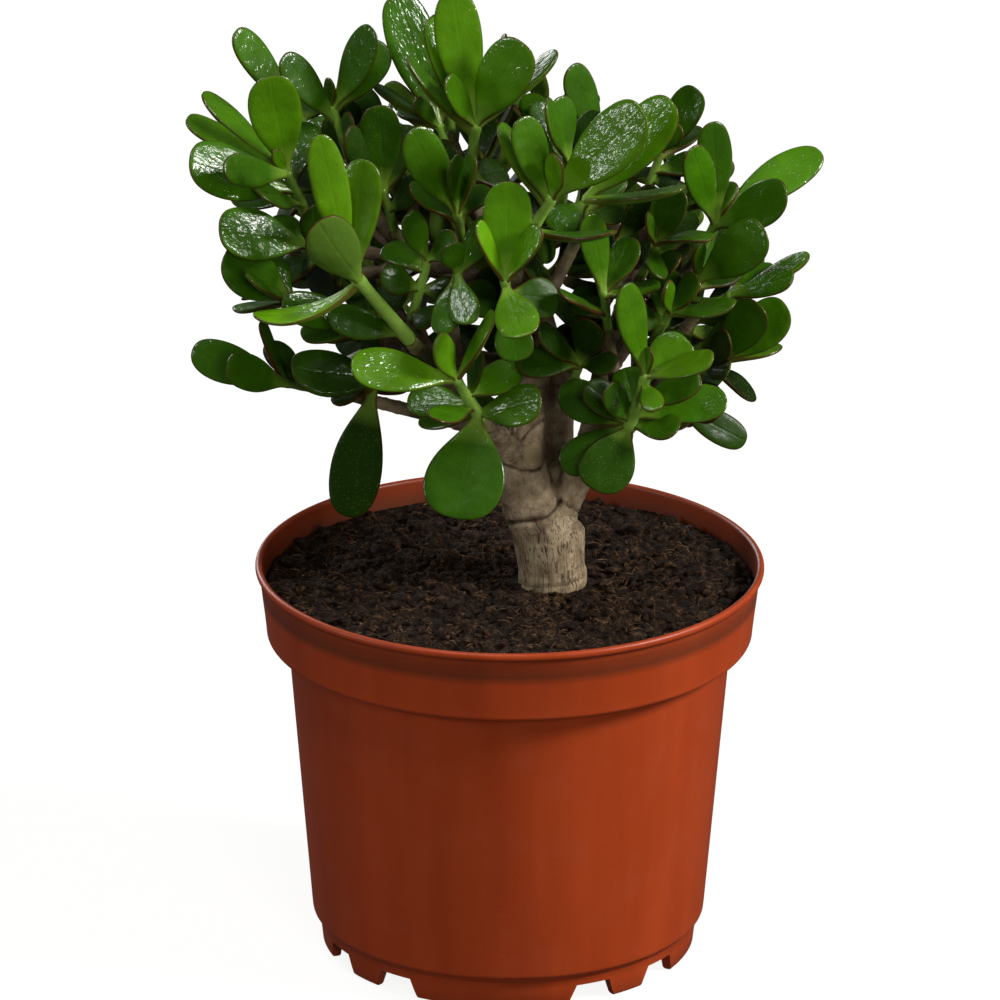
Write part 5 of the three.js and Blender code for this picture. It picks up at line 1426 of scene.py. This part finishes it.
def strew(name, model, count, place_copy, seed, tuft_count=0):
    """Many copies of one small shape in one piece, each with its own place and tone."""
    chance = np.random.default_rng(seed)
    points, faces = model
    tufts = [top_spot(chance) for i in range(tuft_count)]
    places, all_faces, tones = [], [], []
    for i in range(count):
        spot = tuft_spot(chance, tufts) if tufts else top_spot(chance)
        places.append(place_copy(points, *spot, chance))
        all_faces += [[i * len(points) + v for v in face] for face in faces]
        tones.append(np.full(len(points), chance.random()))
    return piece_from_copies(name, places, all_faces, {"tone": tones})


def place_crumb(points, x, y, chance):
    size = 0.4 + 2.6 * chance.random() ** 3
    stretch = np.array([0.7 + 0.9 * chance.random(), 0.6 + 0.5 * chance.random(),
                        0.45 + 0.3 * chance.random()])
    own = (points * stretch * size) @ any_turn(chance, 0.5).T
    return own + (x, y, ground_level(x, y) + 0.15 * size)


def place_fibre(points, x, y, chance):
    length, thick = 1.5 + 6 * chance.random() ** 2, 0.09 + 0.14 * chance.random() ** 2
    arch, curl = 0.9 * chance.random(), (chance.random() - 0.5) * 4
    s = points[:, 0]
    own = np.stack([s * length, points[:, 1] * thick + curl * s * (1 - s),
                    points[:, 2] * thick + arch * np.sin(pi * s)], 1)
    own = own @ any_turn(chance, 0.2).T
    return own + (x, y, ground_level(x, y) + 0.2 + 0.5 * chance.random())


def inside_pot(piece):
    """Draws points that stick out through the wall back inside it."""
    places = points_of(piece.data) / MM
    radius = np.maximum(np.hypot(places[:, 0], places[:, 1]), 1)
    places[:, :2] *= np.minimum(1, (POT_INSIDE + 0.6) / radius)[:, None]
    move_points(piece.data, places * MM)


CRUMBS, FIBRES, TUFTS = 2400, 2600, 170
crumbs = strew("peat_crumbs", model_crumb(), CRUMBS, place_crumb, seed=11)
fibres = strew("peat_fibres", model_fibre(), FIBRES, place_fibre, seed=12, tuft_count=TUFTS)
for piece in (crumbs, fibres):
    inside_pot(piece)
print("crumb faces:", len(crumbs.data.polygons), "fibre faces:", len(fibres.data.polygons))

# %% [markdown]
# ## Finish: damp peat
# Damp peat is warm brown on its crumbs and matt all over. Its hollows are made nearly black with painted
# shade, and its lumps a little paler. Fibres are paler, from brown to straw, so the same finish is made once
# more for them in their own colours. The tone differs by crumb and by fibre.

# %% Make the peat finish
def make_peat_finish(name, dark, middle, pale):
    m = new_material(name)
    place = add_node(m, "ShaderNodeTexCoord", out="Object")
    tone = add_node(m, ATTRIBUTE, out="Fac", attribute_name="tone")
    # grit about 2.5 mm wide, down to dust
    grit = add_node(m, NOISE, {"Vector": place, "Scale": 380.0, "Detail": 5.0, "Roughness": 0.7})
    base = add_node(m, RAMP, [grit], stops=((0.32, dark), (0.52, middle), (0.75, pale)))
    grey = add_node(m, RAMP, [tone], stops=((0, 0.4), (0.65, 1.0), (1, 2.0)))
    base = add_node(m, MIX, {SHARE: 1.0, BASE: base, OVER: grey}, RESULT,
                    data_type="RGBA", blend_type="MULTIPLY")
    shader = add_node(m, "ShaderNodeBsdfPrincipled", {
        "Base Color": base, "Roughness": 0.9, "Specular IOR Level": 0.2,
        "Normal": add_node(m, BUMP, {"Height": grit, "Strength": 1.0, "Distance": 0.0012})})
    add_node(m, OUTPUT, [shader], None)
    return m


# painted shade: the soil's tone is darker in its hollows and paler on its lumps
lump_shade = np.zeros(len(soil_points))
lump_shade[on_top] = lumps
carry(soil.data, "tone", np.clip(0.4 + 0.17 * lump_shade + 0.2 * noise_at(soil_points, 11, 4.0, 2), 0, 1))
peat = make_peat_finish("damp_fibrous_peat", "0c0804", "26180e", "624a33")
dress(soil, peat, "soil", "soil")
dress(crumbs, peat, "soil")
dress(fibres, make_peat_finish("peat_fibre", "33231a", "60452e", "8f7454"), "soil")
soil.data.polygons.foreach_set("use_smooth", [True] * len(soil.data.polygons))
print("peat finish on", soil.name, crumbs.name, fibres.name)

# %% [markdown]
# ## The nursery pot
# The pot is injection moulded in one piece: a round lip bead, a groove under it, a deep collar that
# stiffens the rim, a slim tapered body and a foot ring with notches that let water run off. Its wall
# is one closed outline, so the outline is drawn once and spun round the pot's axis.

# %% Draw the pot's outline and spin it
WALL, COLLAR_BOTTOM, COLLAR_FOOT = 1.6, 136, 100.3


def arc(centre, radius, start, end, steps):
    """Points of an arc in the outline, its angles in degrees from outwards to up."""
    return [(centre[0] + radius * cos(radians(start + (end - start) * i / steps)),
             centre[1] + radius * sin(radians(start + (end - start) * i / steps))) for i in range(steps + 1)]


def pot_outline():
    """The outline as [radius, height], from the middle of the floor's inside round to its underside."""
    inside = [(AXIS_GAP, FLOOR_TOP), (body_radius(FLOOR_TOP) - WALL - 4.5, FLOOR_TOP)]
    inside += arc((body_radius(15) - WALL - 4, 15), 4, -80, 0, 4)
    inside += [(body_radius(70) - WALL, 70), (body_radius(136.6) - WALL, 136.6)]
    inside += arc((body_radius(137) - WALL + 1, 136.8), 0.9, 180, 95, 3)
    inside += [(COLLAR_FOOT - WALL - 1.6, 138.4), (COLLAR_FOOT - WALL - 0.3, 139.2),
               (COLLAR_FOOT - WALL, 140.4)]
    inside += [(101.2, 156), (102.1, 165.4)]
    lip = arc((103.55, 165.9), 1.45, 170, 0, 9) + arc((103.5, 165.5), 1.5, -4, -62, 4)
    groove = [(103.5, 163.7), (103.25, 163.2), (103.1, 162.4), (103.15, 161.7), (103.0, 161.0)]
    collar = [(102.2, 154), (101.2, 146), (COLLAR_FOOT + 0.35, 141), (COLLAR_FOOT + 0.15, 139.2)]
    collar += arc((COLLAR_FOOT - 2.0, 138.2), 2.1, 0, -90, 6)
    collar += [(COLLAR_FOOT - 5, COLLAR_BOTTOM), (body_radius(COLLAR_BOTTOM) + 0.9, COLLAR_BOTTOM)]
    body = arc((body_radius(135) + 1.0, 135.1), 0.9, 90, 180, 3)
    body += [(body_radius(z), z) for z in (132, 100, 60, 18.5)]
    body += arc((body_radius(16) - 2.6, 16.2), 2.6, 0, -80, 6)
    foot = [(78.8, 13.2), (78.5, 12.8), (78.2, 8), (77.4, 1.0), (76.9, 0.3), (76.4, 0), (74.3, 0),
            (73.8, 0.3), (73.5, 0.9), (73.5, 8.6), (73.2, 9.2), (72.6, FLOOR_UNDER), (AXIS_GAP, FLOOR_UNDER)]
    return inside + lip + groove + collar + body + foot


def draw_outline(name, outline):
    """Draws an outline point by point in the plane of X and Z."""
    bpy.ops.mesh.primitive_plane_add(size=0.1)
    piece = named(name)
    edit(piece, "SELECT")
    bpy.ops.mesh.merge(type="CENTER")
    r, z = outline[0]
    bpy.ops.transform.translate(value=(r, 0, z))
    for (r0, z0), (r1, z1) in zip(outline, outline[1:]):
        bpy.ops.mesh.extrude_region_move(TRANSFORM_OT_translate={"value": (r1 - r0, 0, z1 - z0)})
    return piece


SPIN_STEPS = 128


def model_pot():
    pot = draw_outline("nursery_pot", pot_outline())
    bpy.ops.mesh.select_all(action="SELECT")
    bpy.ops.mesh.spin(steps=SPIN_STEPS, angle=2 * pi, center=(0, 0, 0), axis=(0, 0, 1))
    bpy.ops.mesh.select_all(action="SELECT")
    bpy.ops.mesh.remove_doubles(threshold=0.01)
    leave_edit()
    return pot


def close_floor(pot):
    """Closes the two small round openings at the axis, inside and under the floor."""
    edit(pot)
    for level in (FLOOR_TOP, FLOOR_UNDER):
        mesh = bmesh.from_edit_mesh(pot.data)
        for v in mesh.verts:
            v.select_set(abs(v.co.z - level) < 0.01 and v.co.xy.length < AXIS_GAP + 0.5)
        mesh.select_flush(True)
        bmesh.update_edit_mesh(pot.data)
        bpy.ops.mesh.edge_face_add()
        bpy.ops.mesh.select_all(action="DESELECT")
    bpy.ops.mesh.select_all(action="SELECT")
    bpy.ops.mesh.normals_make_consistent(inside=False)
    leave_edit()


pot = model_pot()
close_floor(pot)
print("pot faces after spin:", len(pot.data.polygons))

# %% [markdown]
# ## Notches and drain holes
# Water has to run out under the pot, so the foot ring has eight notches that leave four wide and four
# narrow feet, and the floor has a ring of holes. Both are cut with small solids, by boolean
# modifiers, in the way a mould's core pins and blocks leave them out.

# %% Cut the notches and holes
NOTCH_HEIGHT, NOTCH_BELOW, NOTCH_INSIDE, NOTCH_OUTSIDE = 8.4, -2, 67.5, 86
NOTCH_BOTTOM, NOTCH_TOP, FIRST_FOOT, NOTCH_OFFSETS = 17, 11, -4.9, (31.7, 58.3)  # degrees
HOLES, HOLE_RADIUS, HOLE_CIRCLE = 8, 6, 54
EDGE_ANGLE = 38  # degrees: duller edges than this are shaded smooth


def notch_block(azimuth):
    """A block between two feet, wider below, drawn from a cube by moving its corners."""
    bpy.ops.mesh.primitive_cube_add(size=2)
    block = named("notch_block")
    corners = []
    for x, y, z in points_of(block.data):
        radius = NOTCH_OUTSIDE if y < 0 else NOTCH_INSIDE
        angle = radians(azimuth + x * (NOTCH_BOTTOM if z < 0 else NOTCH_TOP) / 2)
        corners.append((radius * sin(angle), -radius * cos(angle), NOTCH_BELOW if z < 0 else NOTCH_HEIGHT))
    move_points(block.data, corners)
    edit(block, "SELECT")
    bpy.ops.mesh.normals_make_consistent(inside=False)
    leave_edit()
    return block


def hole_pin(index):
    angle = (index + 0.5) / HOLES * 2 * pi
    place = (HOLE_CIRCLE * cos(angle), HOLE_CIRCLE * sin(angle), FLOOR_UNDER)
    bpy.ops.mesh.primitive_cylinder_add(vertices=24, radius=HOLE_RADIUS, depth=12, location=place)
    bpy.ops.object.transform_apply(location=True, rotation=False, scale=False)
    return named("hole_pin")


def cut_with(piece, cutters):
    """Joins the cutters into one solid and takes it away from the piece."""
    bpy.ops.object.select_all(action="DESELECT")
    for cutter in cutters:
        cutter.select_set(True)
    bpy.context.view_layer.objects.active = cutters[0]
    bpy.ops.object.join()
    cutter = cutters[0]
    select_only(piece)
    cut = piece.modifiers.new("cut", "BOOLEAN")
    cut.operation = "DIFFERENCE"
    cut.solver = "EXACT"
    cut.object = cutter
    bpy.ops.object.modifier_apply(modifier="cut")
    bpy.data.objects.remove(cutter)


cut_with(pot, [notch_block(FIRST_FOOT + 90 * quarter + offset)
               for quarter in range(4) for offset in NOTCH_OFFSETS])
cut_with(pot, [hole_pin(i) for i in range(HOLES)])
move_points(pot.data, points_of(pot.data) * MM)
select_only(pot)
bpy.ops.object.shade_smooth_by_angle(angle=radians(EDGE_ANGLE))
print("pot faces after cuts:", len(pot.data.polygons))

# %% [markdown]
# ## Finish: moulded polypropylene
# The pot is terracotta-coloured polypropylene, moulded in a polished tool and dulled a little by
# handling. That gives an even, warm colour, a broad soft gloss, faint upright flow marks where the
# plastic filled the mould, and a fine orange-peel surface.

# %% Make the pot's finish
def soil_and_shade_inside_rim(m, place):
    """How dark the wall inside the rim is painted, within a radius of about 102 mm: partly soil that clings
    to it, partly painted shade under the crown.
    """
    part = add_node(m, "ShaderNodeSeparateXYZ", [place], None).outputs
    flat = add_node(m, "ShaderNodeCombineXYZ", [part["X"], part["Y"]])
    radius = add_node(m, "ShaderNodeVectorMath", [flat], "Value", operation="LENGTH")
    return add_node(m, MATH, [
        add_node(m, RAMP, [radius], stops=((0.1019, 1.0), (0.1025, 0.0))),
        add_node(m, RAMP, [part["Z"]], stops=((0.1555, 0.0), (0.1562, 0.85), (0.166, 0.45)))],
        operation="MULTIPLY")


def make_pot_finish():
    m = new_material("moulded_polypropylene_terracotta")
    place = add_node(m, "ShaderNodeTexCoord", out="Object")
    # flow marks: noise that is drawn out upwards, about 15 mm wide
    upright = add_node(m, "ShaderNodeMapping", {"Vector": place, "Scale": (1, 1, 0.12)})
    flow = add_node(m, NOISE, {"Vector": upright, "Scale": 65.0, "Detail": 2.0})
    # dust and handling, in patches about 22 mm wide, pale and dull
    dust = add_node(m, NOISE, {"Vector": place, "Scale": 45.0, "Detail": 5.0, "Roughness": 0.7})
    base = add_node(m, RAMP, [flow], stops=((0.3, "a83e16"), (0.7, "b4451b")))
    faded = add_node(m, RAMP, [dust], stops=((0.5, 0.0), (0.8, 0.12)))
    # the wall inside the rim is darkened, partly by clinging soil and partly as painted shade
    for share, colour in ((faded, "b8674a"), (soil_and_shade_inside_rim(m, place), "4a2a1a")):
        base = add_node(m, MIX, {SHARE: share, BASE: base, OVER: colour}, RESULT, data_type="RGBA")
    # scuffs: short fine scratches round the pot from stacking, about 4 mm long
    round_way = add_node(m, "ShaderNodeMapping", {"Vector": place, "Scale": (0.25, 0.25, 1.6)})
    scuff = add_node(m, NOISE, {"Vector": round_way, "Scale": 900.0, "Detail": 2.0})
    rough = add_node(m, MATH, [
        add_node(m, RAMP, [dust], stops=((0.3, 0.36), (0.8, 0.5))),
        add_node(m, RAMP, [scuff], stops=((0.62, 0.0), (0.75, 0.12)))], operation="ADD")
    # orange peel, about 1.4 mm wide so that it shows, on the flow marks
    peel = add_node(m, NOISE, {"Vector": place, "Scale": 700.0, "Detail": 1.0})
    peel = add_node(m, MATH, [peel, add_node(m, MATH, [flow, 0.8], operation="MULTIPLY")], operation="ADD")
    shader = add_node(m, "ShaderNodeBsdfPrincipled", {
        "Base Color": base, "Roughness": rough, "IOR": 1.49, "Specular IOR Level": 0.45,
        "Normal": add_node(m, BUMP, {"Height": peel, "Strength": 0.12, "Distance": 0.0004})})
    add_node(m, OUTPUT, [shader], None)
    return m


dress(pot, make_pot_finish(), "pot", "pot")
print("pot finish on nursery_pot")

# %% [markdown]
# ## Stage and light
# The plant stood on white under soft studio light. The highlights on the leaves at the left and the
# shading of the pot put the main light far round to the right. Weaker ones stand in front, on the left,
# overhead and behind. The floor is wide enough to fill the picture.

# %% Floor
FLOOR_SIZE, FLOOR_DROP, PAPER_GLOW, GLOW_SHARE = 40, 0.0002, 1.26, 0.8


def make_floor():
    """White paper that glows by itself, so that it stays white and only the contact shadow shows."""
    bpy.ops.mesh.primitive_plane_add(size=FLOOR_SIZE, location=(0, 0, -FLOOR_DROP))
    floor = named("studio_floor")
    m = new_material("white_studio_paper")
    grain = add_node(m, NOISE, {"Scale": 3.0})
    paper = add_node(m, RAMP, [grain], stops=((0.3, "f2f2f1"), (0.7, "f6f6f5")))
    matt = add_node(m, "ShaderNodeBsdfDiffuse", {"Color": paper})
    glow = add_node(m, "ShaderNodeEmission", {"Color": paper, "Strength": PAPER_GLOW})
    shader = add_node(m, "ShaderNodeMixShader", [GLOW_SHARE, matt, glow])
    add_node(m, OUTPUT, [shader], None)
    floor.data.materials.append(m)
    floor.visible_diffuse = False
    floor.visible_glossy = False
    print("floor:", floor.name, FLOOR_SIZE, "m wide")


make_floor()

# %% Lights
WHITE, WARM_WHITE, WORLD_GLOW = (1, 1, 1), (1, 0.98, 0.95), 0.055
LIGHTS = (  # name, place, aim, width and power of each soft light, and its colour
    ("key_light", (1.64, -0.5, 1.3), (0, 0, 0.24), 0.5, 42, WARM_WHITE),
    ("front_light", (0.5, -2.0, 0.9), (0, 0, 0.25), 0.6, 12, WHITE),
    ("left_light", (-1.8, -0.6, 0.75), (0, 0, 0.3), 0.3, 6, WHITE),
    ("top_light", (-0.4, -0.5, 1.9), (0, 0, 0.3), 0.5, 9, WHITE),
    ("back_light", (-1.0, 1.8, 0.9), (0, 0, 0.2), 0.9, 16, WHITE))
for name, place, aim, width, power, colour in LIGHTS:
    data = bpy.data.lights.new(name, "AREA")
    data.shape = "SQUARE"
    data.size, data.energy, data.color = width, power, colour
    light = bpy.data.objects.new(name, data)
    bpy.context.scene.collection.objects.link(light)
    way = Vector(aim) - Vector(place)
    light.matrix_world = Matrix.Translation(place) @ way.to_track_quat("-Z", "Y").to_matrix().to_4x4()
    light.visible_glossy = name != "front_light"  # its mirror image would turn the leaves grey
world = bpy.data.worlds.new("studio_world")
world.use_nodes = True
world.node_tree.nodes["Background"].inputs["Color"].default_value = (1, 1, 1, 1)
world.node_tree.nodes["Background"].inputs["Strength"].default_value = WORLD_GLOW
bpy.context.scene.world = world
bpy.context.scene.view_settings.view_transform = "Standard"
print("lights:", len(LIGHTS))
